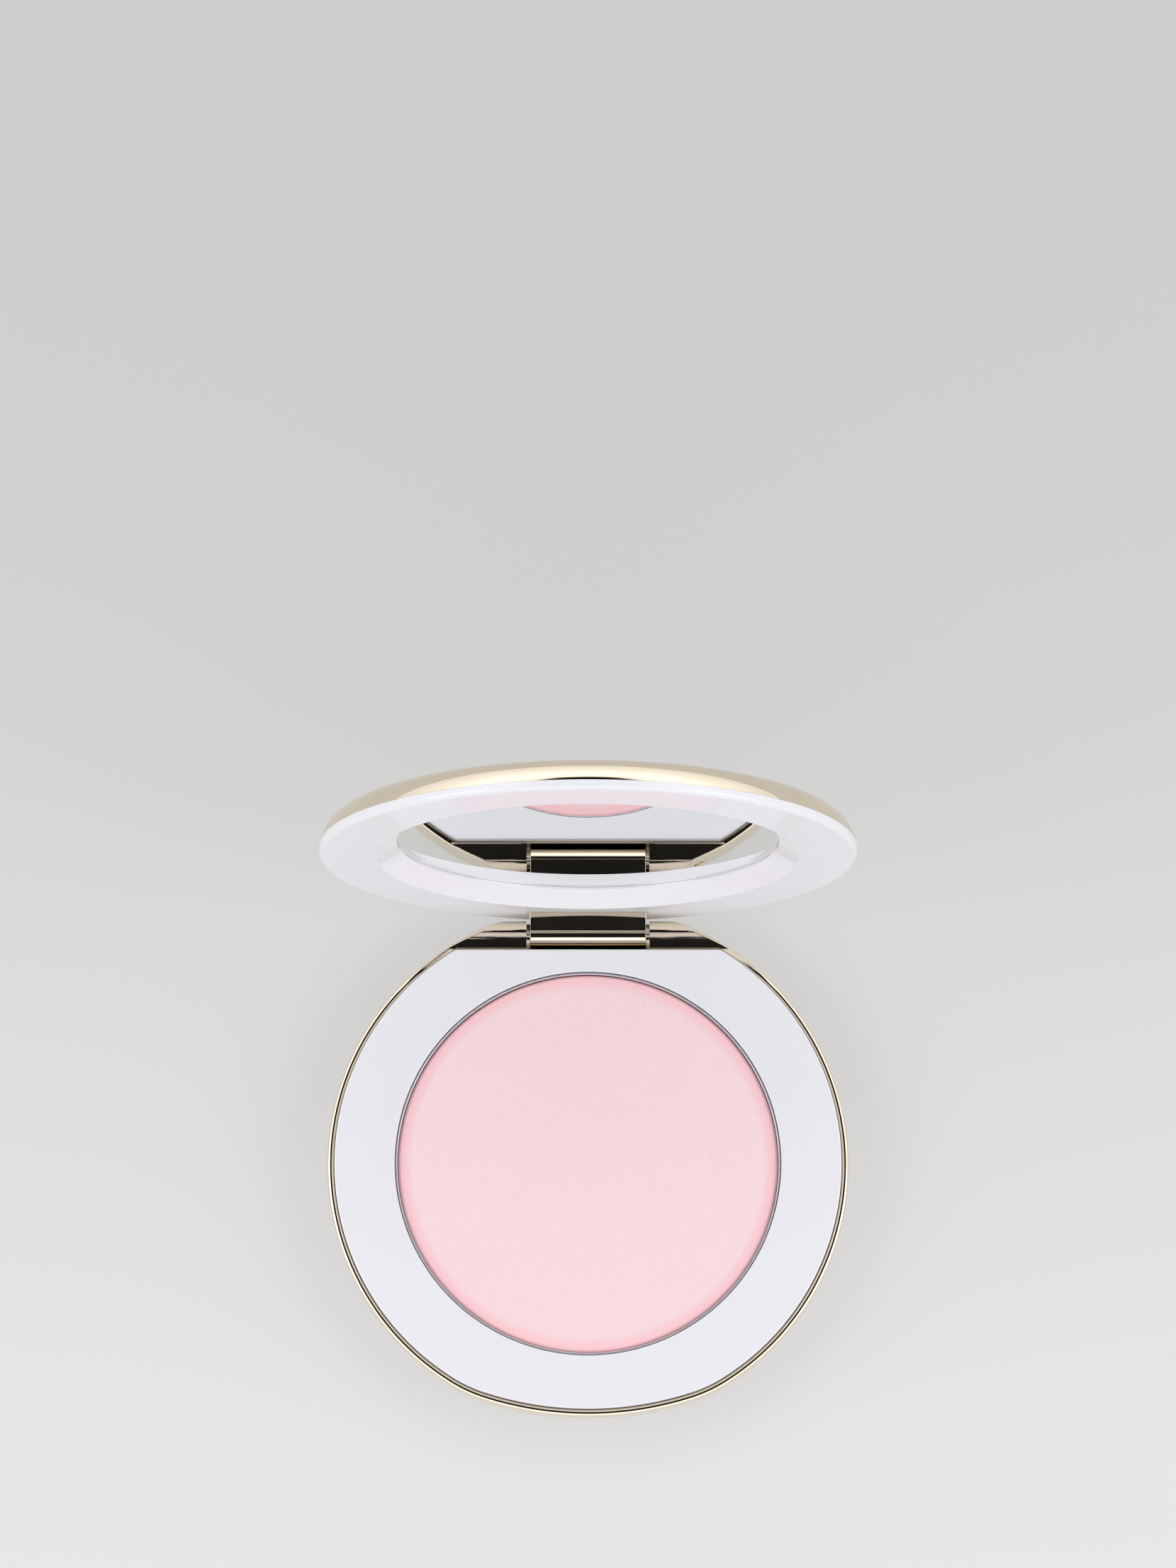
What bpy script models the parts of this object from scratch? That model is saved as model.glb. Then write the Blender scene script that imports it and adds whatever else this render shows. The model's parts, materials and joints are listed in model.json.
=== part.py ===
"""A round powder compact with a mirror lid, standing open on its back stop.

The origin is the centre of the base's underside. +Y points to the hinge, +X to the right and +Z up.
The lid's pieces are drawn closed, in the base's frame, and hang on an empty on the hinge axis that
turns them open.
"""

from math import asin
from math import atan2
from math import cos
from math import degrees
from math import pi
from math import radians
from math import sin
from math import sqrt

import bmesh
import bpy
from mathutils import Matrix

# ---------------------------------------------------------------- driving dimensions, in metres

# Pan, powder and well
PAN_RADIUS = 0.0295
PAN_DEPTH = 0.0042
PAN_WALL = 0.0003
PAN_FLOOR = 0.0004
PAN_DROP = 0.0004  # pan's rim below the deck plane
PAN_CLEARANCE = 0.0001  # between the pan and its well, all round
POWDER_DROP = 0.0005  # powder's face below the pan's rim
POWDER_EDGE = 0.0006  # radius of the powder's rounded edge
POWDER_CLEARANCE = 0.00005
GLUE_THICKNESS = 0.0003
GLUE_INSET = 0.003
REST_GAP = 0.00015  # between faces that rest on each other
WELL_WALL = 0.0012
WELL_FLOOR = 0.0010
WELL_CHAMFER = 0.00015

# Base
DECK_HEIGHT = 0.0095  # deck plane above the underside
DECK_THICKNESS = 0.0014
DECK_PROUD = 0.0009  # deck plane above the gold rim
DECK_CHAMFER = 0.00025
DECK_FIT = 0.0001  # between the deck's edge and the rim
RIM_WIDTH = 0.00115
RIM_ROUND = 0.0006
CASE_WALL = 0.0019
CASE_FLOOR = 0.0012
CASE_FOOT_ROUND = 0.0050  # radius of the case's lower edge
FRONT_FLAT = 0.00115  # how far the front of the deck is flattened
FRONT_FLAT_RADIUS = 0.0512  # radius of the flattened front, which leaves room for a thumb

# Hinge
HINGE_RADIUS = 0.0021
PIN_RADIUS = 0.0006
PIN_CLEARANCE = 0.00005
PIN_END_SPACE = 0.0010
BARREL_HALF = 0.0089  # half of the centre barrel's width
KNUCKLE_GAP = 0.0006
KNUCKLE_HOLD = 0.0045  # length of pin held in each knuckle
BARREL_GAP = 0.0004  # between the barrel and the notch it turns in
HINGE_OVERHANG = 0.0021  # case and lid reach past the barrel
WELL_BACK_GAP = 0.0013  # between the well and the wall in front of the barrel
NOTCH_WALL = 0.0012
KNUCKLE_LAND = 0.00035  # knuckle's flat top in front of the barrel's face
DECK_GROOVE = 0.0003  # between the deck's back edge and the knuckles
OPEN_ANGLE = radians(94.0)
STOP_GAP = 0.0002  # between the open lid and the stop face
STOP_INSET = 0.0009  # stop face narrower than the barrel, at each end

# Lid
LID_GAP = 0.0001  # between the closed mirror frame and the deck
LID_OVERSIZE = 0.0001
LID_TOP_WALL = 0.0008  # lid shell over the mirror, at the lid's edge
LID_CROWN = 0.0009  # rise of the domed outer face
LID_WALL = 0.00105
FRAME_EDGE = 0.0014  # thickness of the frame's bullnose edge
FRAME_PROUD = 0.00005
FRAME_BORDER = 0.00855  # white band between the recess and the lid's edge
FRAME_SKIRT_WALL = 0.0010
FRAME_FIT = 0.00015
FRAME_SEAM = 0.0001
RECESS_DEPTH = 0.0023
RECESS_TAPER = 0.0029
MIRROR_LIP = 0.0003
MIRROR_LAP = 0.0008  # how far the lip covers the glass
MIRROR_THICKNESS = 0.0011
MIRROR_FIT = 0.00015
MIRROR_WALL = 0.0012
TAPE_THICKNESS = 0.00025
TAPE_INSET = 0.0015
ARM_CLEARANCE = 0.00015
ARM_INSET = 0.0002  # arm's back face inside the lid's edge
ARM_BITE = 0.0003  # how far the arm runs into the lid shell's top
ARM_FOOT = 0.0007  # how far the arm's foot laps the lid shell's wall

# Closure and label
MAGNET_THICKNESS = 0.0020
MAGNET_SPACE = 0.00025  # between the magnet's boss and the walls beside it
MAGNET_BOSS_WALL = 0.0008
MAGNET_FIT = 0.00015
LABEL_RADIUS = 0.018
LABEL_THICKNESS = 0.00015
LABEL_FIT = 0.0003

# Resolution of round shapes
ROUND_STEPS = 72
SMALL_STEPS = 36
PIN_STEPS = 24
CORNER_STEPS = 3
KNUCKLE_STEPS = 8
DOME_STEPS = 4
OUTLINE_SIDE_STEPS = 20
OUTLINE_FRONT_STEPS = 10

# ---------------------------------------------------------------- worked-out dimensions

WELL_RADIUS = PAN_RADIUS + PAN_CLEARANCE
WELL_OUTER_RADIUS = WELL_RADIUS + WELL_WALL
NOTCH_RADIUS = HINGE_RADIUS + BARREL_GAP
NOTCH_HALF = BARREL_HALF + KNUCKLE_GAP
HINGE_Y = WELL_OUTER_RADIUS + WELL_BACK_GAP + NOTCH_WALL + NOTCH_RADIUS
CASE_RADIUS = HINGE_Y + HINGE_RADIUS + HINGE_OVERHANG
DECK_RADIUS = CASE_RADIUS - RIM_WIDTH
DECK_UNDERSIDE = DECK_HEIGHT - DECK_THICKNESS
CASE_INNER_RADIUS = CASE_RADIUS - CASE_WALL
CASE_FOOT_RADIUS = CASE_RADIUS - CASE_FOOT_ROUND
FOOT_INNER_ROUND = CASE_FOOT_ROUND - CASE_FLOOR
RIM_TOP = DECK_HEIGHT - DECK_PROUD
SEAT_Z = DECK_UNDERSIDE - REST_GAP
PAN_RIM = DECK_HEIGHT - PAN_DROP
PAN_BOTTOM = PAN_RIM - PAN_DEPTH
GLUE_TOP = PAN_BOTTOM - REST_GAP
GLUE_BOTTOM = GLUE_TOP - GLUE_THICKNESS
WELL_BOTTOM = GLUE_BOTTOM - REST_GAP

HINGE_Z = RIM_TOP - HINGE_RADIUS
NOTCH_FRONT_Y = HINGE_Y - NOTCH_RADIUS
KNUCKLE_FRONT_Y = HINGE_Y - HINGE_RADIUS - KNUCKLE_LAND
DECK_BACK_Y = KNUCKLE_FRONT_Y - DECK_GROOVE
CAVITY_BACK_Y = NOTCH_FRONT_Y - NOTCH_WALL
PIN_REACH = NOTCH_HALF + KNUCKLE_HOLD

LID_FACE_Z = DECK_HEIGHT + LID_GAP
LID_RISE = LID_FACE_Z - HINGE_Z
LID_RADIUS = CASE_RADIUS + LID_OVERSIZE
LID_INNER_RADIUS = LID_RADIUS - LID_WALL
FRAME_RADIUS = LID_RADIUS + FRAME_PROUD
SKIRT_RADIUS = LID_INNER_RADIUS - FRAME_FIT
RECESS_RADIUS = LID_RADIUS - FRAME_BORDER
MIRROR_VIEW_RADIUS = RECESS_RADIUS - RECESS_TAPER
MIRROR_RADIUS = MIRROR_VIEW_RADIUS + MIRROR_LAP
POCKET_RADIUS = MIRROR_RADIUS + MIRROR_FIT

# Heights behind the mirror frame's face, in the closed lid
MIRROR_FRONT = RECESS_DEPTH + MIRROR_LIP + REST_GAP
MIRROR_BACK = MIRROR_FRONT + MIRROR_THICKNESS
TAPE_FRONT = MIRROR_BACK + REST_GAP
TAPE_BACK = TAPE_FRONT + TAPE_THICKNESS
LID_CEILING = TAPE_BACK + REST_GAP
LID_SEAM = FRAME_EDGE + FRAME_SEAM
LID_EDGE_HEIGHT = LID_CEILING + LID_TOP_WALL
LID_EDGE_ROUND = LID_EDGE_HEIGHT - LID_SEAM  # the lid's edge is one quarter round
LID_SHOULDER = LID_RADIUS - LID_EDGE_ROUND
LID_INNER_ROUND = LID_EDGE_ROUND - LID_WALL
SKIRT_RISE = sqrt((LID_INNER_ROUND - FRAME_FIT / 2) ** 2 - (LID_INNER_ROUND - FRAME_FIT) ** 2)
FRAME_SKIRT_HEIGHT = LID_CEILING - LID_INNER_ROUND + SKIRT_RISE

FRONT_FLAT_Y = DECK_RADIUS - FRONT_FLAT  # distance of the deck's flattened front from the centre
FRONT_CENTRE_Y = FRONT_FLAT_RADIUS - FRONT_FLAT_Y
CAVITY_INSET = DECK_RADIUS - CASE_INNER_RADIUS
CAVITY_FRONT_Y = FRONT_FLAT_Y - CAVITY_INSET
MAGNET_Y = -(WELL_OUTER_RADIUS + CAVITY_FRONT_Y) / 2
MAGNET_BOSS_RADIUS = (CAVITY_FRONT_Y - WELL_OUTER_RADIUS) / 2 - MAGNET_SPACE
MAGNET_RADIUS = MAGNET_BOSS_RADIUS - MAGNET_BOSS_WALL

FAR = 2 * CASE_RADIUS  # reach of a cutter past the object
OVERCUT = 0.001  # reach of a cutter past the face it opens
MERGE = 0.000001

# ---------------------------------------------------------------- modelling helpers


def clear_scene():
    """Remove every object of the scene the script is run in."""
    for obj in list(bpy.data.objects):
        bpy.data.objects.remove(obj, do_unlink=True)


def new_collection(name):
    """Make a collection and put it in the scene."""
    collection = bpy.data.collections.new(name)
    bpy.context.scene.collection.children.link(collection)
    return collection


def finish(name, colour, roughness, metallic=0.0, coat=0.0):
    """Make a Principled material."""
    material = bpy.data.materials.new(name)
    material.use_nodes = True
    shader = material.node_tree.nodes["Principled BSDF"]
    shader.inputs["Base Color"].default_value = (*colour, 1.0)
    shader.inputs["Roughness"].default_value = roughness
    shader.inputs["Metallic"].default_value = metallic
    shader.inputs["Coat Weight"].default_value = coat
    return material


def arc(centre_x, centre_y, radius, start, end, steps=CORNER_STEPS):
    """Points along an arc, both ends included, with its angles in degrees."""
    points = []
    for step in range(steps + 1):
        angle = radians(start + (end - start) * step / steps)
        points.append((centre_x + radius * cos(angle), centre_y + radius * sin(angle)))
    return points


def linked(name, mesh, collection):
    """Put a mesh in a collection as a new object."""
    obj = bpy.data.objects.new(name, mesh)
    collection.objects.link(obj)
    return obj


def turned(name, profile, collection, ring=False, steps=ROUND_STEPS, centre_y=0.0):
    """Turn a profile of (radius, height) points about Z. It runs down its outer side.

    A solid's profile starts and ends on the axis, and a ring's closes on itself.
    """
    mesh = bpy.data.meshes.new(name)
    edges = [(index, index + 1) for index in range(len(profile) - 1)]
    if ring:
        edges.append((len(profile) - 1, 0))
    mesh.from_pydata([(radius, 0.0, height) for radius, height in profile], edges, [])
    obj = linked(name, mesh, collection)
    obj.location.y = centre_y
    screw = obj.modifiers.new("Turn", "SCREW")
    screw.steps = steps
    screw.render_steps = steps
    screw.use_merge_vertices = True
    screw.merge_threshold = MERGE
    return obj


def plate(name, outline, low, high, collection, along_x=False):
    """Fill an outline and give it thickness: up Z from a plan, or along X from a side view in Y and Z."""
    curve = bpy.data.curves.new(name, "CURVE")
    curve.dimensions = "2D"
    curve.fill_mode = "BOTH"
    curve.extrude = (high - low) / 2
    spline = curve.splines.new("POLY")
    spline.points.add(len(outline) - 1)
    for point, (first, second) in zip(spline.points, outline):
        point.co = (first, second, 0.0, 1.0)
    spline.use_cyclic_u = True
    drawing = linked(name + "_drawing", curve, collection)
    evaluated = drawing.evaluated_get(bpy.context.evaluated_depsgraph_get())
    mesh = bpy.data.meshes.new_from_object(evaluated)
    bpy.data.objects.remove(drawing, do_unlink=True)
    place = Matrix.Translation((0.0, 0.0, (low + high) / 2))
    if along_x:
        place = Matrix.Rotation(pi / 2, 4, "Z") @ Matrix.Rotation(pi / 2, 4, "X") @ place
    edit = bmesh.new()
    edit.from_mesh(mesh)
    bmesh.ops.remove_doubles(edit, verts=edit.verts, dist=MERGE)
    bmesh.ops.transform(edit, matrix=place, verts=edit.verts)
    bmesh.ops.recalc_face_normals(edit, faces=edit.faces)
    edit.to_mesh(mesh)
    edit.free()
    mesh.name = name
    return linked(name, mesh, collection)


def rod(name, radius, low, high, collection):
    """A straight round rod on the hinge axis."""
    edit = bmesh.new()
    bmesh.ops.create_cone(
        edit, cap_ends=True, segments=PIN_STEPS, radius1=radius, radius2=radius, depth=high - low
    )
    across = Matrix.Rotation(pi / 2, 4, "Y")
    place = Matrix.Translation(((low + high) / 2, HINGE_Y, HINGE_Z)) @ across
    bmesh.ops.transform(edit, matrix=place, verts=edit.verts)
    mesh = bpy.data.meshes.new(name)
    edit.to_mesh(mesh)
    edit.free()
    mesh.shade_smooth()
    mesh.set_sharp_from_angle(angle=radians(40))
    return linked(name, mesh, collection)


def upright(name, radius, low, high, collection):
    """A small upright cylinder at the magnets' place."""
    profile = [(0.0, high), (radius, high), (radius, low), (0.0, low)]
    return turned(name, profile, collection, steps=PIN_STEPS, centre_y=MAGNET_Y)


def disc(name, radius, low, high, collection):
    """A plain flat disc on the Z axis."""
    profile = [(0.0, high), (radius, high), (radius, low), (0.0, low)]
    return turned(name, profile, collection, steps=SMALL_STEPS)


def combine(obj, operation, other):
    """Cut, join or trim an object with another, which is then only a guide."""
    other.hide_render = True
    other.display_type = "WIRE"
    modifier = obj.modifiers.new(operation.title() + " " + other.name, "BOOLEAN")
    modifier.operation = operation
    modifier.solver = "EXACT"
    modifier.object = other


# ---------------------------------------------------------------- outlines


def deck_outline(inset, back_y):
    """Plan of the deck, moved in by an inset: a circle with a flattened front and a straight back."""
    side = DECK_RADIUS - inset
    front = FRONT_FLAT_RADIUS - inset
    kink_y = (side**2 - front**2 + FRONT_CENTRE_Y**2) / (2 * FRONT_CENTRE_Y)
    kink_x = sqrt(side**2 - kink_y**2)
    kink_angle = degrees(atan2(kink_y, kink_x))
    back_angle = degrees(asin(back_y / side))
    front_half = degrees(asin(kink_x / front))
    right = arc(0.0, 0.0, side, kink_angle, back_angle, OUTLINE_SIDE_STEPS)
    left = [(-x, y) for x, y in reversed(right)]
    flat = arc(0.0, FRONT_CENTRE_Y, front, 270 - front_half, 270 + front_half, OUTLINE_FRONT_STEPS)
    return right + left + flat[1:-1]


def knuckle_outline():
    """Side view of what is cut away behind the knuckles, which round over the hinge axis."""
    back = arc(HINGE_Y, HINGE_Z, HINGE_RADIUS, 90, 0, KNUCKLE_STEPS)
    above = RIM_TOP + OVERCUT
    below = -OVERCUT
    return [(HINGE_Y, above), *back, (HINGE_Y + HINGE_RADIUS, below), (FAR, below), (FAR, above)]


def stop_y(height):
    """Where the stop face stands at a height. It is parallel to the open lid's mirror frame."""
    reach = LID_RISE - STOP_GAP
    return HINGE_Y + (reach - cos(OPEN_ANGLE) * (height - HINGE_Z)) / sin(OPEN_ANGLE)


def notch_outline():
    """Side view of the notch between the knuckles, with the stop face under it."""
    cradle = arc(HINGE_Y, HINGE_Z, NOTCH_RADIUS, 180, 270, KNUCKLE_STEPS)
    above = RIM_TOP + OVERCUT
    below = -OVERCUT
    floor = HINGE_Z - NOTCH_RADIUS
    stop = [(stop_y(floor), floor), (stop_y(below), below)]
    return [(NOTCH_FRONT_Y, above), *cradle, *stop, (FAR, below), (FAR, above)]


def arm_outline(foot_top, top):
    """Side view of the lid's arm, closed: the hinge barrel, with a block that narrows into the shell."""
    barrel = arc(HINGE_Y, HINGE_Z, HINGE_RADIUS, 180, 360, 2 * KNUCKLE_STEPS)
    back_y = HINGE_Y + HINGE_RADIUS
    return [(HINGE_Y - HINGE_RADIUS, top), *barrel, (back_y, foot_top), (HINGE_Y, top)]


def foot_outline():
    """Plan of the arm's foot, which follows the lid's edge."""
    radius = LID_RADIUS - ARM_INSET
    half = degrees(asin(BARREL_HALF / radius))
    edge = arc(0.0, 0.0, radius, 90 - half, 90 + half)
    return [(BARREL_HALF, HINGE_Y), *edge, (-BARREL_HALF, HINGE_Y)]


# ---------------------------------------------------------------- base


def make_base_shell(parts, cutters):
    """Gold case: a turned cup with the deck's seat, two hinge knuckles and the notch between them."""
    above = RIM_TOP + OVERCUT
    below = -OVERCUT
    label_recess = LABEL_THICKNESS + REST_GAP
    profile = [(0.0, RIM_TOP)]
    profile += arc(CASE_RADIUS - RIM_ROUND, RIM_TOP - RIM_ROUND, RIM_ROUND, 90, 0)
    profile += arc(CASE_FOOT_RADIUS, CASE_FOOT_ROUND, CASE_FOOT_ROUND, 0, -90, 2 * CORNER_STEPS)
    profile += [(LABEL_RADIUS, 0.0), (LABEL_RADIUS, label_recess), (0.0, label_recess)]
    shell = turned("base_shell", profile, parts)

    # The flattened front keeps the lower edge's round, and then runs out on its last slope.
    rim_front = FRONT_FLAT_RADIUS + RIM_WIDTH
    foot = arc(rim_front - CASE_FOOT_ROUND, CASE_FOOT_ROUND, CASE_FOOT_ROUND, 0, -60, 2 * CORNER_STEPS)
    run_out = foot[-1][0] - (foot[-1][1] - below) * sqrt(3)
    trim_profile = [(0.0, above), (rim_front, above), *foot, (run_out, below), (0.0, below)]
    trim = turned("front_trim", trim_profile, cutters, centre_y=FRONT_CENTRE_Y)
    combine(shell, "INTERSECT", trim)

    seat = plate("seat_cut", deck_outline(-DECK_FIT, KNUCKLE_FRONT_Y), SEAT_Z, above, cutters)
    combine(shell, "DIFFERENCE", seat)
    cavity_plan = deck_outline(CAVITY_INSET, CAVITY_BACK_Y)
    cavity = plate("cavity_cut", cavity_plan, below, SEAT_Z + OVERCUT / 2, cutters)
    inner_foot = arc(CASE_FOOT_RADIUS, CASE_FOOT_ROUND, FOOT_INNER_ROUND, 0, -90, 2 * CORNER_STEPS)
    cup_profile = [(0.0, above), (inner_foot[0][0], above), *inner_foot, (0.0, CASE_FLOOR)]
    combine(cavity, "INTERSECT", turned("case_cup", cup_profile, cutters))
    combine(shell, "DIFFERENCE", cavity)

    notch = plate("notch_cut", notch_outline(), -NOTCH_HALF, NOTCH_HALF, cutters, along_x=True)
    combine(shell, "DIFFERENCE", notch)
    stop_half = BARREL_HALF - STOP_INSET
    behind = plate("knuckle_cut", knuckle_outline(), stop_half, FAR, cutters, along_x=True)
    behind.modifiers.new("Both sides", "MIRROR").merge_threshold = MERGE
    combine(shell, "DIFFERENCE", behind)

    hole_radius = PIN_RADIUS + PIN_CLEARANCE
    pin_hole = rod("base_pin_cut", hole_radius, -PIN_REACH - PIN_END_SPACE, FAR, cutters)
    combine(shell, "DIFFERENCE", pin_hole)
    return shell


def make_base_deck(parts, cutters):
    """White deck plate, with the pan's well and the boss for the base's magnet under it."""
    inside = DECK_HEIGHT - DECK_THICKNESS / 2
    plan = deck_outline(0.0, DECK_BACK_Y)
    deck = plate("base_deck", plan, DECK_UNDERSIDE, DECK_HEIGHT, parts)
    edge = deck.modifiers.new("Edge", "BEVEL")
    edge.width = DECK_CHAMFER
    edge.segments = 1
    edge.limit_method = "ANGLE"

    low = WELL_BOTTOM - WELL_FLOOR
    cup_profile = [(0.0, inside), (WELL_OUTER_RADIUS, inside), (WELL_OUTER_RADIUS, low), (0.0, low)]
    combine(deck, "UNION", turned("well_cup", cup_profile, cutters))
    mouth = DECK_HEIGHT + OVERCUT
    well_profile = [
        (0.0, mouth),
        (WELL_RADIUS + WELL_CHAMFER + OVERCUT, mouth),
        (WELL_RADIUS, DECK_HEIGHT - WELL_CHAMFER),
        (WELL_RADIUS, WELL_BOTTOM),
        (0.0, WELL_BOTTOM),
    ]
    combine(deck, "DIFFERENCE", turned("well_cut", well_profile, cutters))

    boss_low = DECK_UNDERSIDE - MAGNET_THICKNESS - 2 * REST_GAP
    boss = upright("base_boss", MAGNET_BOSS_RADIUS, boss_low, inside, cutters)
    combine(deck, "UNION", boss)
    pocket_radius = MAGNET_RADIUS + MAGNET_FIT
    pocket = upright("base_pocket", pocket_radius, boss_low - OVERCUT, DECK_UNDERSIDE, cutters)
    combine(deck, "DIFFERENCE", pocket)
    return deck


def make_powder_pan(parts):
    """Thin round metal pan, open at the top."""
    floor = PAN_BOTTOM + PAN_FLOOR
    inner = PAN_RADIUS - PAN_WALL
    inside = [(0.0, floor), (inner, floor), (inner, PAN_RIM)]
    outside = [(PAN_RADIUS, PAN_RIM), (PAN_RADIUS, PAN_BOTTOM), (0.0, PAN_BOTTOM)]
    return turned("powder_pan", inside + outside, parts)


def make_pressed_powder(parts):
    """Powder cake with a rounded edge, on the pan's floor."""
    top = PAN_RIM - POWDER_DROP
    low = PAN_BOTTOM + PAN_FLOOR + REST_GAP
    radius = PAN_RADIUS - PAN_WALL - POWDER_CLEARANCE
    edge = arc(radius - POWDER_EDGE, top - POWDER_EDGE, POWDER_EDGE, 90, 0)
    return turned("pressed_powder", [(0.0, top), *edge, (radius, low), (0.0, low)], parts)


# ---------------------------------------------------------------- lid, drawn closed


def make_lid_shell(parts, cutters):
    """Gold lid cover with a domed outer face, and the arm and barrel that hang it on the pin."""
    top = LID_FACE_Z + LID_EDGE_HEIGHT
    seam = LID_FACE_Z + LID_SEAM
    ceiling = LID_FACE_Z + LID_CEILING
    profile = []
    for step in range(DOME_STEPS):
        share = step / DOME_STEPS
        profile.append((LID_SHOULDER * share, top + LID_CROWN * (1 - share**2)))
    profile += arc(LID_SHOULDER, seam, LID_EDGE_ROUND, 90, 0, 2 * CORNER_STEPS)
    profile += [(LID_INNER_RADIUS, seam)]
    profile += arc(LID_SHOULDER, ceiling - LID_INNER_ROUND, LID_INNER_ROUND, 0, 90, 2 * CORNER_STEPS)
    profile += [(0.0, ceiling)]
    shell = turned("lid_shell", profile, parts)

    foot_top = seam + ARM_FOOT
    arm_top = ceiling + ARM_BITE
    foot = plate("arm_foot", foot_outline(), LID_FACE_Z + FRAME_SEAM, foot_top, cutters)
    combine(shell, "UNION", foot)
    arm_side = arm_outline(foot_top, arm_top)
    arm = plate("arm", arm_side, -BARREL_HALF, BARREL_HALF, cutters, along_x=True)
    combine(shell, "UNION", arm)
    reach = BARREL_HALF + OVERCUT
    hole = rod("barrel_pin_cut", PIN_RADIUS + PIN_CLEARANCE, -reach, reach, cutters)
    combine(shell, "DIFFERENCE", hole)
    return [shell, foot, arm, hole]


def make_lid_frame(parts, cutters):
    """White mirror frame: bullnose edge, flat face, tapered recess, lip, glass pocket and snap skirt."""
    edge_round = FRAME_EDGE / 2
    lip_back = RECESS_DEPTH + MIRROR_LIP
    pocket_back = MIRROR_BACK + REST_GAP / 2
    wall_radius = POCKET_RADIUS + MIRROR_WALL
    skirt_inner = SKIRT_RADIUS - FRAME_SKIRT_WALL
    section = [
        (POCKET_RADIUS, pocket_back),
        (wall_radius, pocket_back),
        (wall_radius, FRAME_EDGE),
        (skirt_inner, FRAME_EDGE),
        (skirt_inner, FRAME_SKIRT_HEIGHT),
        (SKIRT_RADIUS, FRAME_SKIRT_HEIGHT),
        (SKIRT_RADIUS, FRAME_EDGE),
        *arc(FRAME_RADIUS - edge_round, edge_round, edge_round, 90, -90, 2 * CORNER_STEPS),
        (RECESS_RADIUS, 0.0),
        (MIRROR_VIEW_RADIUS, RECESS_DEPTH),
        (MIRROR_VIEW_RADIUS, lip_back),
        (POCKET_RADIUS, lip_back),
    ]
    profile = [(radius, LID_FACE_Z + height) for radius, height in section]
    frame = turned("lid_frame", profile, parts, ring=True)

    half = BARREL_HALF + ARM_CLEARANCE
    front_y = HINGE_Y - HINGE_RADIUS - ARM_CLEARANCE
    room = [(-half, front_y), (half, front_y), (half, FAR), (-half, FAR)]
    notch = plate("arm_notch", room, LID_FACE_Z - OVERCUT, LID_FACE_Z + LID_CEILING, cutters)
    combine(frame, "DIFFERENCE", notch)

    pocket_low = LID_FACE_Z + FRAME_EDGE
    boss_high = pocket_low + MAGNET_THICKNESS + 2 * REST_GAP
    boss = upright("lid_boss", MAGNET_BOSS_RADIUS, pocket_low - edge_round, boss_high, cutters)
    combine(frame, "UNION", boss)
    pocket_radius = MAGNET_RADIUS + MAGNET_FIT
    pocket = upright("lid_pocket", pocket_radius, pocket_low, boss_high + OVERCUT, cutters)
    combine(frame, "DIFFERENCE", pocket)
    return [frame, notch, boss, pocket]


def hang(pieces):
    """Hang closed pieces on an empty on the hinge axis, and turn it open."""
    pivot = bpy.data.objects.new("lid_pivot", None)
    bpy.context.scene.collection.objects.link(pivot)
    pivot.location = (0.0, HINGE_Y, HINGE_Z)
    for piece in pieces:
        piece.parent = pivot
        piece.location.y -= HINGE_Y
        piece.location.z -= HINGE_Z
    pivot.rotation_euler.x = -OPEN_ANGLE


# ---------------------------------------------------------------- assembly


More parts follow.
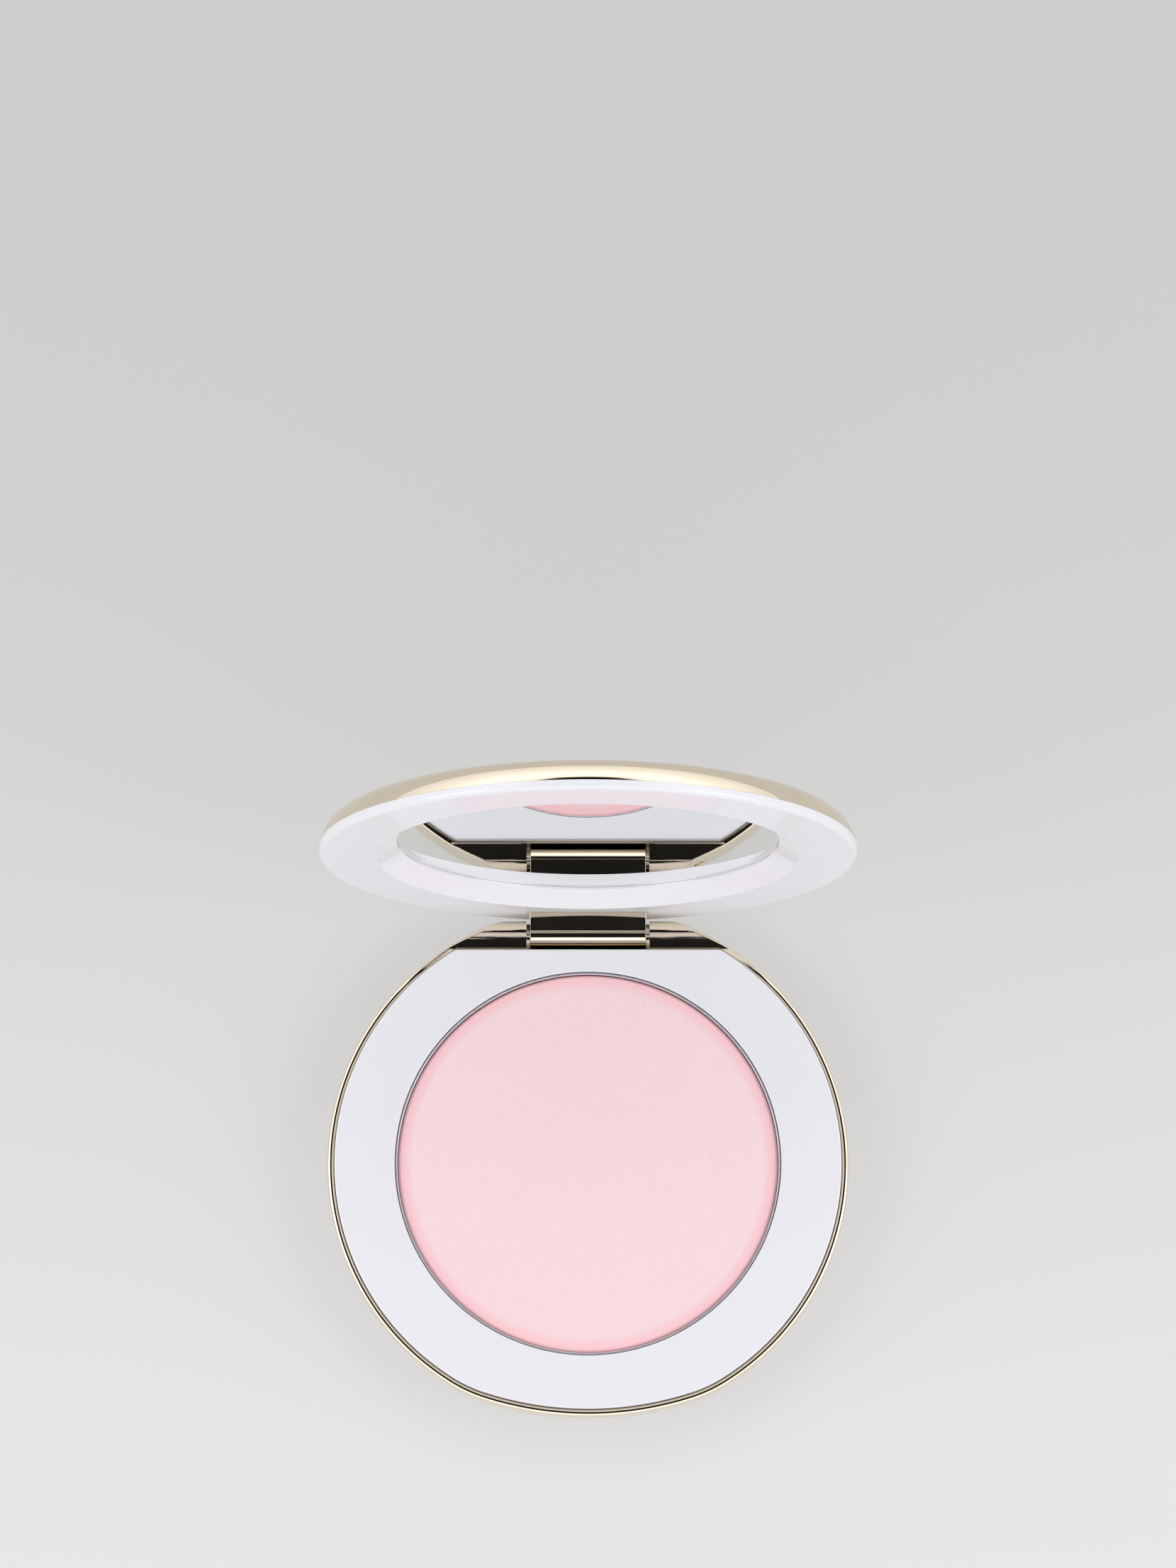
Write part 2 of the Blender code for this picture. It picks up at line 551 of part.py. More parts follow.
def main():
    clear_scene()
    parts = new_collection("powder_compact")
    cutters = new_collection("cutters")

    magnet_high = DECK_UNDERSIDE - REST_GAP
    make_base_shell(parts, cutters)
    make_base_deck(parts, cutters)
    make_powder_pan(parts)
    make_pressed_powder(parts)
    disc("pan_adhesive", PAN_RADIUS - GLUE_INSET, GLUE_BOTTOM, GLUE_TOP, parts)
    disc("bottom_label", LABEL_RADIUS - LABEL_FIT, 0.0, LABEL_THICKNESS, parts)
    upright("base_magnet", MAGNET_RADIUS, magnet_high - MAGNET_THICKNESS, magnet_high, parts)
    rod("hinge_pin", PIN_RADIUS, -PIN_REACH, PIN_REACH, parts)

    lid_magnet_low = LID_FACE_Z + FRAME_EDGE + REST_GAP
    lid = make_lid_shell(parts, cutters)
    lid += make_lid_frame(parts, cutters)
    mirror_low = LID_FACE_Z + MIRROR_FRONT
    mirror_profile = [
        (0.0, mirror_low + MIRROR_THICKNESS),
        (MIRROR_RADIUS, mirror_low + MIRROR_THICKNESS),
        (MIRROR_RADIUS, mirror_low),
        (0.0, mirror_low),
    ]
    lid.append(turned("mirror_glass", mirror_profile, parts))
    tape_radius = MIRROR_RADIUS - TAPE_INSET
    tape_low = LID_FACE_Z + TAPE_FRONT
    lid.append(disc("mirror_tape", tape_radius, tape_low, tape_low + TAPE_THICKNESS, parts))
    lid_magnet_high = lid_magnet_low + MAGNET_THICKNESS
    lid.append(upright("lid_magnet", MAGNET_RADIUS, lid_magnet_low, lid_magnet_high, parts))
    hang(lid)

    gold = finish("champagne_gold", (0.83, 0.72, 0.55), 0.12, metallic=1.0)
    white = finish("white_gloss_plastic", (0.80, 0.80, 0.83), 0.15, coat=0.4)
    nickel = finish("magnet_nickel", (0.60, 0.60, 0.60), 0.30, metallic=1.0)
    finishes = {
        "base_shell": gold,
        "base_deck": white,
        "powder_pan": finish("pan_metal", (0.72, 0.72, 0.73), 0.30, metallic=1.0),
        "pressed_powder": finish("powder_pink", (0.93, 0.66, 0.70), 0.95),
        "pan_adhesive": finish("clear_glue", (0.75, 0.73, 0.66), 0.40),
        "base_magnet": nickel,
        "bottom_label": finish("label_film", (0.85, 0.84, 0.82), 0.50),
        "hinge_pin": finish("pin_steel", (0.60, 0.56, 0.52), 0.20, metallic=1.0),
        "lid_shell": gold,
        "lid_frame": white,
        "mirror_glass": finish("silvered_glass", (0.88, 0.89, 0.88), 0.02, metallic=1.0),
        "mirror_tape": finish("foam_tape", (0.85, 0.85, 0.85), 0.90),
        "lid_magnet": nickel,
    }
    for name, material in finishes.items():
        parts.objects[name].data.materials.append(material)


main()
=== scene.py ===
"""Powder compact: the looks of a round pressed-powder compact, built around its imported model.

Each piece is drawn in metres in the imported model's own frame: the origin is the centre of the
base's underside, +Y points to the hinge and +Z up. The lid's pieces are drawn closed and then
turned open about the hinge axis.
"""

import json
from math import asin, atan2, cos, degrees, hypot, pi, radians, sin, sqrt, tan, tau

import bmesh
import bpy
from bpy.props import FloatProperty, FloatVectorProperty, PointerProperty
from mathutils import Matrix, Vector


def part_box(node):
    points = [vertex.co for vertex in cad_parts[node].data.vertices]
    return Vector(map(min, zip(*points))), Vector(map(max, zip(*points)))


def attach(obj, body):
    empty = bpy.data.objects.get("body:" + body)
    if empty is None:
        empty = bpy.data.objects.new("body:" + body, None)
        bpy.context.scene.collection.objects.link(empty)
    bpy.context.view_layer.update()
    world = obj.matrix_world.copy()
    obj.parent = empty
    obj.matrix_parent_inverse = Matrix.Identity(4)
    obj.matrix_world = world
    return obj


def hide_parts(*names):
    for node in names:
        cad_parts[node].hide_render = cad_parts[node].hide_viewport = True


bl_info = {
    "name": "Powder Compact",
    "version": (1, 0, 0),
    "blender": (4, 5, 0),
    "location": "View3D > Sidebar > Compact",
    "description": "Builds the finished pieces of a powder compact around its packed model",
    "category": "Add Mesh",
}

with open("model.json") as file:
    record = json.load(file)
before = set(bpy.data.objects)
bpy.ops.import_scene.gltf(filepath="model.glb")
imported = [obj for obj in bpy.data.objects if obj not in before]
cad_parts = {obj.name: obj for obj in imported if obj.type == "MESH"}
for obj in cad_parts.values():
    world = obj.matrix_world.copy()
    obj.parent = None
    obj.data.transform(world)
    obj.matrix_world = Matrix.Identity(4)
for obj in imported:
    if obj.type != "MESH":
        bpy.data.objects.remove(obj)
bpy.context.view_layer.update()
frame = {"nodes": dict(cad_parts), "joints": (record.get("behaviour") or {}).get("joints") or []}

# ---------------------------------------------------------------- places taken from the frame

HINGE_JOINT = frame["joints"][0]
HINGE = Vector(HINGE_JOINT["pos_m"])
OPEN_ANGLE = radians(max(HINGE_JOINT["range_deg"]))
OPEN = Matrix.Translation(HINGE) @ Matrix.Rotation(-OPEN_ANGLE, 4, "X") @ Matrix.Translation(-HINGE)


def closed_box(node):
    """Lowest and highest corner of a lid node with the lid shut."""
    points = [OPEN.inverted() @ vertex.co for vertex in frame["nodes"][node].data.vertices]
    low = Vector([min(point[axis] for point in points) for axis in range(3)])
    high = Vector([max(point[axis] for point in points) for axis in range(3)])
    return low, high


CASE_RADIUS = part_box("base_shell")[1].x
RIM_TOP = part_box("base_shell")[1].z
DECK_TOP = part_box("base_deck")[1].z
DECK_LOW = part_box("base_deck")[0].z
DECK_FRONT_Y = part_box("base_deck")[0].y
DECK_BACK_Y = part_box("base_deck")[1].y
PAN_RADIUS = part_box("powder_pan")[1].x
PAN_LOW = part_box("powder_pan")[0].z
PAN_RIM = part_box("powder_pan")[1].z
POWDER_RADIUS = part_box("pressed_powder")[1].x
POWDER_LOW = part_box("pressed_powder")[0].z
POWDER_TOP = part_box("pressed_powder")[1].z
GLUE_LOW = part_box("pan_adhesive")[0].z
PIN_RADIUS = (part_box("hinge_pin")[1].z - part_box("hinge_pin")[0].z) / 2
PIN_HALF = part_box("hinge_pin")[1].x
LABEL_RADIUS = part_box("bottom_label")[1].x
LABEL_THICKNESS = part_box("bottom_label")[1].z
HINGE_RADIUS = RIM_TOP - HINGE.z

LID_RADIUS = closed_box("lid_shell")[1].x
LID_TOP = closed_box("lid_shell")[1].z
FRAME_RADIUS = closed_box("lid_frame")[1].x
LID_FACE = closed_box("lid_frame")[0].z
MIRROR_RADIUS = closed_box("mirror_glass")[1].x
MIRROR_FRONT = closed_box("mirror_glass")[0].z
MIRROR_BACK = closed_box("mirror_glass")[1].z
TAPE_BACK = closed_box("mirror_tape")[1].z

ROUND_STEPS = 288
CORNER_STEPS = 8
EDGE_STEPS = 3 * CORNER_STEPS
FRONT_STEPS = 24
FILLET_STEPS = 16
SIDE_STEPS = 127
DECK_SIDE_STEPS = 96
OVERCUT = 0.001
FAR = 2 * CASE_RADIUS
MERGE = 0.000001
NEAR = 10 * MERGE

# The twill cloth's ribs, and its weaker crossing threads, which are a little further apart.
RIB_TURN = radians(-51.9)
THREAD_TURN = radians(38.1)
THREAD_SPACING = 1.18
THREAD_STRENGTH = 0.2

FLOOR_HALF = 3.0
FADE_START_Y = -0.10
FADE_END_Y = 0.15
SOFT_BOX_SIZE = 0.5
KEY_PLACE = (0.75, -0.15, 0.55)
FILL_PLACE = (-0.80, -0.10, 0.60)

# Pairs of (height on the unit sphere, strength). The first two are the ramp's own ends, and the sky
# is dark straight above, where the light tent is open.
SKY_STOPS = ((0.0, 0.72), (1.0, 0.01), (0.45, 0.95), (0.72, 1.25), (0.84, 1.0), (0.88, 0.01))

# ---------------------------------------------------------------- sizes and colours a user can change


def length(label, what, size):
    """Setting for a length in metres."""
    return FloatProperty(name=label, description=what, default=size, unit="LENGTH")


def paint(label, what, shade):
    """Setting for a colour."""
    return FloatVectorProperty(
        name=label, description=what, default=shade, subtype="COLOR", size=3, min=0.0, max=1.0
    )


class CompactBaseSettings(bpy.types.PropertyGroup):
    """Gold case, white deck and label."""

    rim_width: length("Rim width", "Gold rim around the deck", 0.00115)
    rim_round: length("Rim round", "Radius of the rim's outer edge", 0.0006)
    rim_inner_round: length("Rim inner round", "Radius of the rim's inner edge", 0.00044)
    foot_round: length("Foot round", "Radius of the case's lower edge", 0.0050)
    wall: length("Case wall", "Thickness of the case's wall", 0.0019)
    floor: length("Case floor", "Thickness of the case's floor", 0.0012)
    front_radius: length("Front radius", "Radius of the flattened front", 0.0512)
    corner_radius: length(
        "Corner radius", "Radius where the flattened front meets the round sides", 0.022
    )
    deck_thickness: length("Deck thickness", "Thickness of the white deck plate", 0.0014)
    deck_round: length("Deck round", "Radius of the deck's upper edge", 0.00028)
    deck_fit: length("Deck fit", "Gap between the deck and the rim", 0.0001)
    well_clearance: length("Well clearance", "Gap between the pan and its well", 0.0001)
    well_round: length("Well round", "Radius of the well's mouth", 0.00015)
    well_wall: length("Well wall", "Thickness of the well's wall", 0.0012)
    rest_gap: length("Rest gap", "Gap between faces that rest on each other", 0.00015)
    gold: paint("Champagne gold", "Colour of the metallised case and lid", (0.875, 0.765, 0.60))
    white: paint(
        "Glossy white", "Colour of the moulded deck and mirror frame", (0.780, 0.780, 0.825)
    )
    label: paint("Label", "Colour of the blank label", (0.83, 0.82, 0.80))


class CompactPanSettings(bpy.types.PropertyGroup):
    """Metal pan and pressed powder."""

    pan_wall: length("Pan wall", "Thickness of the pan's wall", 0.0003)
    pan_floor: length("Pan floor", "Thickness of the pan's floor", 0.0004)
    powder_round: length("Powder round", "Radius of the powder's edge", 0.0006)
    border: length(
        "Smooth border", "Width of the powder's edge that the cloth leaves smooth", 0.0008
    )
    border_drop: length("Border drop", "How far the smooth border slopes down", 0.00010)
    twill_pitch: length("Twill pitch", "Distance between the cloth's ribs", 0.000322)
    powder: paint("Powder", "Colour of the pressed powder", (0.905, 0.655, 0.690))
    powder_border: paint(
        "Powder border", "Colour of the powder's smooth border", (0.930, 0.580, 0.620)
    )
    tin: paint("Pan metal", "Colour of the pan", (0.70, 0.70, 0.72))


class CompactHingeSettings(bpy.types.PropertyGroup):
    """Knuckles, barrel and pin."""

    barrel_half: length("Barrel half width", "Half of the centre barrel", 0.0089)
    knuckle_gap: length("Knuckle gap", "Gap beside the barrel", 0.0006)
    barrel_gap: length("Barrel gap", "Gap around the barrel", 0.0004)
    groove: length("Groove", "Gap between the deck and the knuckles", 0.0003)
    edge_round: length("Edge round", "Radius of the knuckles' ends", 0.00026)
    crown_drop: length("Crown drop", "Fall of the knuckles' tops towards the deck", 0.00010)
    crown_lead: length("Crown lead", "Length of rim over which the knuckles' fall fades out", 0.006)
    step_drop: length("Step drop", "Arm's flat below the top of the barrel", 0.00005)
    step_width: length("Step width", "Width of the step beside the flat", 0.00022)
    stop_gap: length("Stop gap", "Gap between the open lid and its stop", 0.0002)
    pin_round: length("Pin round", "Radius of the pin's end edges", 0.00015)
    pin_fit: length("Pin fit", "Gap between the pin and its hole", 0.00005)
    steel: paint("Pin steel", "Colour of the pin", (0.66, 0.60, 0.57))


class CompactLidSettings(bpy.types.PropertyGroup):
    """Lid cover, mirror frame and mirror."""

    seam: length("Seam height", "Cover's edge behind the frame's face", 0.00142)
    crown: length("Crown", "Rise of the domed outer face", 0.0009)
    wall: length("Cover wall", "Thickness of the cover's edge", 0.00105)
    frame_edge: length("Frame edge", "Thickness of the frame's round edge", 0.0014)
    frame_border: length("Frame border", "White band around the recess", 0.00855)
    crest_round: length("Crest round", "Radius of the recess's edge", 0.00030)
    recess_depth: length("Recess depth", "Depth of the sloping recess wall", 0.0023)
    recess_taper: length("Recess taper", "Width of the sloping recess wall", 0.0029)
    lip_round: length("Lip round", "Radius of the lip over the glass", 0.00012)
    glass_fit: length("Glass fit", "Gap between the lip and the glass", 0.00002)
    skirt_height: length("Skirt height", "Snap skirt behind the frame's edge", 0.0008)
    notch_round: length("Notch round", "Radius around the arm's notch", 0.00012)
    arm_clearance: length("Arm clearance", "Gap around the hinge arm", 0.00015)
    arm_foot: length("Arm foot", "Lap of the arm on the cover's wall", 0.0007)
    glass_bevel: length("Glass bevel", "Ground edge of the mirror", 0.00020)
    silver: paint("Mirror silver", "Colour of the mirror", (0.90, 0.91, 0.90))


class CompactStageSettings(bpy.types.PropertyGroup):
    """Camera, floor and light."""

    distance: length("Distance", "Camera to the centre of the deck", 1.0)
    lean: FloatProperty(
        name="Lean",
        description="How far the camera stands in front of straight above",
        default=radians(7.7),
        subtype="ANGLE",
    )
    look_up: FloatProperty(
        name="Look up",
        description="How far the camera looks above the deck's centre",
        default=radians(3.32),
        subtype="ANGLE",
    )
    lens: FloatProperty(name="Lens", description="Focal length", default=149.7, unit="CAMERA")
    sky: FloatProperty(name="Sky", description="Strength of the light tent", default=1.27)
    key: FloatProperty(name="Key light", description="Right soft box", default=1.5, unit="POWER")
    fill: FloatProperty(name="Fill light", description="Left soft box", default=1.5, unit="POWER")
    # Painted shade: the far floor is darker than the near one, standing in for light that falls off
    # towards the back.
    floor_near: paint("Near floor", "Floor in front of the compact", (0.290, 0.290, 0.290))
    floor_far: paint("Far floor", "Floor behind the compact", (0.222, 0.222, 0.222))
    # Painted light: the floor glows with its own colour, which lifts the shadows cast on it.
    floor_glow: FloatProperty(
        name="Floor glow", description="Light that the floor gives, as a lit table does", default=1.65
    )


# ---------------------------------------------------------------- mesh helpers


def arc(centre_x, centre_y, radius, start, end, steps=CORNER_STEPS):
    """Points along an arc, both ends included. Its angles are in degrees."""
    points = []
    for step in range(steps + 1):
        angle = radians(start + (end - start) * step / steps)
        points.append((centre_x + radius * cos(angle), centre_y + radius * sin(angle)))
    return points


def linked(name, data):
    """Put a mesh, a camera or a light in the scene as a new object."""
    obj = bpy.data.objects.new(name, data)
    bpy.context.scene.collection.objects.link(obj)
    return obj


def closed_form(name, form):
    """Turn a bmesh into an object with its faces pointing out."""
    bmesh.ops.remove_doubles(form, verts=form.verts, dist=MERGE)
    bmesh.ops.recalc_face_normals(form, faces=form.faces)
    mesh = bpy.data.meshes.new(name)
    form.to_mesh(mesh)
    form.free()
    return linked(name, mesh)


def lathe(name, profile, ring=False, steps=ROUND_STEPS):
    """Turn a profile of (radius, height) points about the upright axis."""
    form = bmesh.new()
    points = [form.verts.new((radius, 0.0, height)) for radius, height in profile]
    lines = [form.edges.new(pair) for pair in zip(points, points[1:])]
    if ring:
        lines.append(form.edges.new((points[-1], points[0])))
    bmesh.ops.spin(
        form, geom=points + lines, cent=(0, 0, 0), axis=(0, 0, 1), angle=tau, steps=steps, use_merge=True
    )
    return closed_form(name, form)


def slab(name, outline, low, high, along_x=False):
    """Give an outline thickness: up Z from a plan, or along X from a side view in Y and Z."""
    form = bmesh.new()
    if along_x:
        corners = [form.verts.new((low, first, second)) for first, second in outline]
        move = Vector((high - low, 0.0, 0.0))
    else:
        corners = [form.verts.new((first, second, low)) for first, second in outline]
        move = Vector((0.0, 0.0, high - low))
    face = form.faces.new(corners)
    raised = bmesh.ops.extrude_face_region(form, geom=[face])["geom"]
    far_side = [part for part in raised if isinstance(part, bmesh.types.BMVert)]
    bmesh.ops.translate(form, verts=far_side, vec=move)
    return closed_form(name, form)


def loft(name, levels):
    """Join closed outlines at rising heights, given as pairs of (outline, height), into a solid."""
    form = bmesh.new()
    rings = [[form.verts.new((x, y, height)) for x, y in outline] for outline, height in levels]
    for lower, upper in zip(rings, rings[1:]):
        for index in range(len(lower)):
            form.faces.new((lower[index - 1], lower[index], upper[index], upper[index - 1]))
    form.faces.new(list(reversed(rings[0])))
    form.faces.new(rings[-1])
    return closed_form(name, form)


def swept(name, profile, outline_at):
    """Carry a profile of (radius, height) points round an outline. It starts and ends on the axis."""
    form = bmesh.new()
    low = form.verts.new((0.0, 0.0, profile[-1][1]))
    high = form.verts.new((0.0, 0.0, profile[0][1]))
    rings = []
    for radius, height in profile[1:-1]:
        rings.append([form.verts.new((x, y, height)) for x, y in outline_at(radius)])
    count = len(rings[0])
    for upper, lower in zip(rings, rings[1:]):
        for index in range(count):
            form.faces.new((lower[index - 1], lower[index], upper[index], upper[index - 1]))
    for index in range(count):
        form.faces.new((high, rings[0][index - 1], rings[0][index]))
        form.faces.new((low, rings[-1][index], rings[-1][index - 1]))
    return closed_form(name, form)


def rod(name, radius, low, high, end_round=0.0, steps=64):
    """A round rod on the hinge axis, with rounded ends."""
    profile = [(0.0, high)]
    if end_round:
        profile += arc(radius - end_round, high - end_round, end_round, 90, 0)
        profile += arc(radius - end_round, low + end_round, end_round, 0, -90)
    else:
        profile += [(radius, high), (radius, low)]
    profile += [(0.0, low)]
    obj = lathe(name, profile, steps=steps)
    obj.data.transform(Matrix.Translation((0.0, HINGE.y, HINGE.z)) @ Matrix.Rotation(pi / 2, 4, "Y"))
    return obj


def combine(obj, operation, tool):
    """Cut, join or trim an object with another, which is used up."""
    change = obj.modifiers.new(operation, "BOOLEAN")
    change.operation = operation
    change.solver = "EXACT"
    change.object = tool
    result = bpy.data.meshes.new_from_object(obj.evaluated_get(bpy.context.evaluated_depsgraph_get()))
    obj.modifiers.remove(change)
    before = obj.data
    obj.data = result
    bpy.data.meshes.remove(before)
    used = tool.data
    bpy.data.objects.remove(tool)
    bpy.data.meshes.remove(used)


def soften(obj, width, chosen, steps=4):
    """Round the edges that a test picks."""
    form = bmesh.new()
    form.from_mesh(obj.data)
    bmesh.ops.remove_doubles(form, verts=form.verts, dist=MERGE)
    edges = [edge for edge in form.edges if len(edge.link_faces) == 2 and chosen(edge)]
    bmesh.ops.bevel(
        form, geom=edges, offset=width, segments=steps, profile=0.5, affect="EDGES", clamp_overlap=True
    )
    form.to_mesh(obj.data)
    form.free()


def middle_of(edge):
    """Middle point of an edge."""
    return (edge.verts[0].co + edge.verts[1].co) / 2


def is_corner(edge, angle=0.6):
    """True for an edge sharper than an angle in radians, and convex."""
    return edge.calc_face_angle_signed(0.0) > angle


def polish(obj, angle=35.0):
    """Shade smooth, keeping true corners, with flat faces truly flat."""
    obj.data.shade_smooth()
    obj.data.set_sharp_from_angle(angle=radians(angle))
    weighted = obj.modifiers.new("Flat faces", "WEIGHTED_NORMAL")
    weighted.keep_sharp = True
    weighted.weight = 60


def finish_piece(obj, body, slot, material, *nodes):
    """Give a piece its finish, hang it on its body and hide what it stands for."""
    obj.data.materials.clear()
    obj.data.materials.append(material)
    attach(obj, body)
    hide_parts(*nodes)


def open_up(obj):
    """Turn a piece drawn on the shut lid to where it stands on the open one."""
    obj.data.transform(OPEN)


# ---------------------------------------------------------------- material helpers


def new_material(name, colour, roughness, metallic=0.0):
    """A node material, its tree and its shader, with the same finish all over."""
    material = bpy.data.materials.new(name)
    material.use_nodes = True
    tree = material.node_tree
    shader = tree.nodes["Principled BSDF"]
    shader.inputs["Base Color"].default_value = (*colour, 1.0)
    shader.inputs["Roughness"].default_value = roughness
    shader.inputs["Metallic"].default_value = metallic
    return material, tree, shader


def add_node(tree, kind, inputs=None, **settings):
    """Add a node. An input is a value, or the socket that feeds it."""
    made = tree.nodes.new(kind)
    for name, value in settings.items():
        setattr(made, name, value)
    for name, value in (inputs or {}).items():
        if isinstance(value, bpy.types.NodeSocket):
            tree.links.new(value, made.inputs[name])
        else:
            made.inputs[name].default_value = value
    return made


def place_of(tree):
    """The socket with a point's place in metres."""
    return add_node(tree, "ShaderNodeTexCoord").outputs["Object"]


def noise(tree, place, size, detail=3.0, rough=0.5):
    """Soft noise with blotches of a size in metres."""
    inputs = {"Vector": place, "Scale": 1.0 / size, "Detail": detail, "Roughness": rough}
    return add_node(tree, "ShaderNodeTexNoise", inputs).outputs["Fac"]


def spread(tree, value, low, high, from_low=0.3, from_high=0.7):
    """Map a value's middle range onto another range."""
    inputs = {"Value": value, "From Min": from_low, "From Max": from_high, "To Min": low, "To Max": high}
    return add_node(tree, "ShaderNodeMapRange", inputs).outputs["Result"]


def blend_colours(tree, amount, first, second):
    """A colour between two others."""
    mixed = add_node(tree, "ShaderNodeMix", data_type="RGBA")
    tree.links.new(amount, mixed.inputs[0])
    for index, colour in ((6, first), (7, second)):
        if isinstance(colour, bpy.types.NodeSocket):
            tree.links.new(colour, mixed.inputs[index])
        else:
            mixed.inputs[index].default_value = (*colour, 1.0)
    return mixed.outputs[2]


def relief(tree, shader, *layers):
    """Bump from pairs of (height socket, depth in metres)."""
    normal = None
    for height, depth in layers:
        bump = add_node(tree, "ShaderNodeBump", {"Strength": 1.0, "Distance": depth, "Height": height})
        if normal is not None:
            tree.links.new(normal, bump.inputs["Normal"])
        normal = bump.outputs["Normal"]
    tree.links.new(normal, shader.inputs["Normal"])


def shade_of(tone, factor):
    """A colour made lighter or darker."""
    return tuple(min(1.0, channel * factor) for channel in tone)


def tint(tree, shader, amount, tone, low, high):
    """Vary the base colour between two shades of it."""
    mixed = blend_colours(tree, amount, shade_of(tone, low), shade_of(tone, high))
    tree.links.new(mixed, shader.inputs["Base Color"])


def roughen(tree, shader, amount, low, high, *reach):
    """Vary the roughness between two values."""
    tree.links.new(spread(tree, amount, low, high, *reach), shader.inputs["Roughness"])


# ---------------------------------------------------------------- materials


def champagne_gold(colour):
    """Metallised champagne-gold moulding under a clear coat."""
    material, tree, shader = new_material("gold_moulding", colour, 0.05, metallic=1.0)
    place = place_of(tree)
    tone = noise(tree, place, 0.011)
    tint(tree, shader, tone, colour, 0.96, 1.03)
    haze = noise(tree, place, 0.0035, detail=6.0, rough=0.65)
    roughen(tree, shader, haze, 0.025, 0.065)
    shader.inputs["Coat Weight"].default_value = 0.35
    shader.inputs["Coat Roughness"].default_value = 0.03
    sink = noise(tree, place, 0.0052, detail=0.0)
    peel = noise(tree, place, 0.0006, detail=2.0)
    relief(tree, shader, (sink, 0.00003), (peel, 0.0000012))
    return material


def glossy_white(colour):
    """Glossy cool-white moulding, with faint flow and handling marks."""
    material, tree, shader = new_material("white_moulding", colour, 0.14)
    place = place_of(tree)
    tone = noise(tree, place, 0.018)
    tint(tree, shader, tone, colour, 0.985, 1.01)
    haze = noise(tree, place, 0.006, detail=7.0, rough=0.7)
    roughen(tree, shader, haze, 0.11, 0.20)
    shader.inputs["Coat Weight"].default_value = 0.25
    shader.inputs["Coat Roughness"].default_value = 0.06
    sink = noise(tree, place, 0.009, detail=0.0)
    peel = noise(tree, place, 0.0007, detail=2.0)
    relief(tree, shader, (sink, 0.000012), (peel, 0.0000015))
    return material


def pan_metal(colour):
    """Drawn tinplate, with fine rings from spinning."""
    material, tree, shader = new_material("pan_tin", colour, 0.3, metallic=1.0)
    place = place_of(tree)
    haze = noise(tree, place, 0.0012, detail=5.0, rough=0.6)
    roughen(tree, shader, haze, 0.22, 0.40)
    tone = noise(tree, place, 0.004)
    tint(tree, shader, tone, colour, 0.93, 1.04)
    wave = {"Vector": place, "Scale": 1400.0, "Distortion": 1.5, "Detail": 2.0}
    rings = add_node(tree, "ShaderNodeTexWave", wave, wave_type="RINGS", rings_direction="Z")
    relief(tree, shader, (rings.outputs["Fac"], 0.0000025))
    return material


def printed_area(tree, flat, sizes):
    """One where the cloth left its print, and zero on the powder's smooth border."""
    radius = add_node(tree, "ShaderNodeVectorMath", {0: flat}, operation="LENGTH").outputs["Value"]
    inner = POWDER_RADIUS - sizes.powder_round - sizes.border
    reach = {
        "Value": radius,
        "From Min": inner - sizes.border,
        "From Max": inner + sizes.border / 2,
        "To Min": 1.0,
        "To Max": 0.0,
    }
    fade = add_node(tree, "ShaderNodeMapRange", reach, interpolation_type="SMOOTHSTEP")
    return fade.outputs["Result"]


def cloth_ribs(tree, flat, turn, pitch):
    """Ribs of the cloth, turned by an angle. At a scale of one, a wave's bands are 2 pi / 20 apart."""
    turned = add_node(tree, "ShaderNodeMapping", {"Vector": flat, "Rotation": (0, 0, turn)})
    wave = {
        "Vector": turned.outputs["Vector"],
        "Scale": tau / 20.0 / pitch,
        "Distortion": 0.9,
        "Detail": 1.5,
        "Detail Scale": 0.35,
    }
    return add_node(tree, "ShaderNodeTexWave", wave, bands_direction="Y").outputs["Fac"]


def calculate(tree, operation, first, second):
    """A sum or product of two values."""
    return add_node(tree, "ShaderNodeMath", {0: first, 1: second}, operation=operation).outputs[0]


def pressed_powder(sizes):
    """Matte pressed powder with the print of a twill cloth, smooth along its border. The print's relief
    is also painted into the colour, as painted shade and highlight on its ribs.
    """
    material, tree, shader = new_material("powder_print", sizes.powder, 0.9)
    place = place_of(tree)
    shader.inputs["Specular IOR Level"].default_value = 0.15
    shader.inputs["Sheen Weight"].default_value = 0.12
    shader.inputs["Sheen Roughness"].default_value = 0.5
    parts = add_node(tree, "ShaderNodeSeparateXYZ", {"Vector": place}).outputs
    on_plane = {"X": parts["X"], "Y": parts["Y"], "Z": 0.0}
    flat = add_node(tree, "ShaderNodeCombineXYZ", on_plane).outputs["Vector"]
    printed = printed_area(tree, flat, sizes)
    ribs = cloth_ribs(tree, flat, RIB_TURN, sizes.twill_pitch)
    threads = cloth_ribs(tree, flat, THREAD_TURN, sizes.twill_pitch * THREAD_SPACING)
    cloth = calculate(tree, "ADD", ribs, calculate(tree, "MULTIPLY", threads, THREAD_STRENGTH))
    cloth = calculate(tree, "MULTIPLY", cloth, printed)
    grain = noise(tree, place, 0.00014, detail=4.0, rough=0.7)
    mottle = noise(tree, place, 0.006, detail=4.0)
    # Painted shade and highlight: the ribs' colour runs from a shaded to a lit copy of the powder,
    # standing in for light on the cloth's relief.
    lit = spread(tree, cloth, 0.0, 1.0, 0.0, 1.15)
    rib_painted_shade = blend_colours(tree, lit, shade_of(sizes.powder, 0.80), shade_of(sizes.powder, 1.18))
    bordered = blend_colours(tree, printed, sizes.powder_border, rib_painted_shade)
    speckled = blend_colours(tree, spread(tree, grain, 0.0, 0.10), bordered, shade_of(sizes.powder, 1.08))
    washed = blend_colours(tree, spread(tree, mottle, 0.0, 0.12), speckled, sizes.powder_border)
    tree.links.new(washed, shader.inputs["Base Color"])
    relief(tree, shader, (cloth, 0.000028), (grain, 0.000010))
    return material


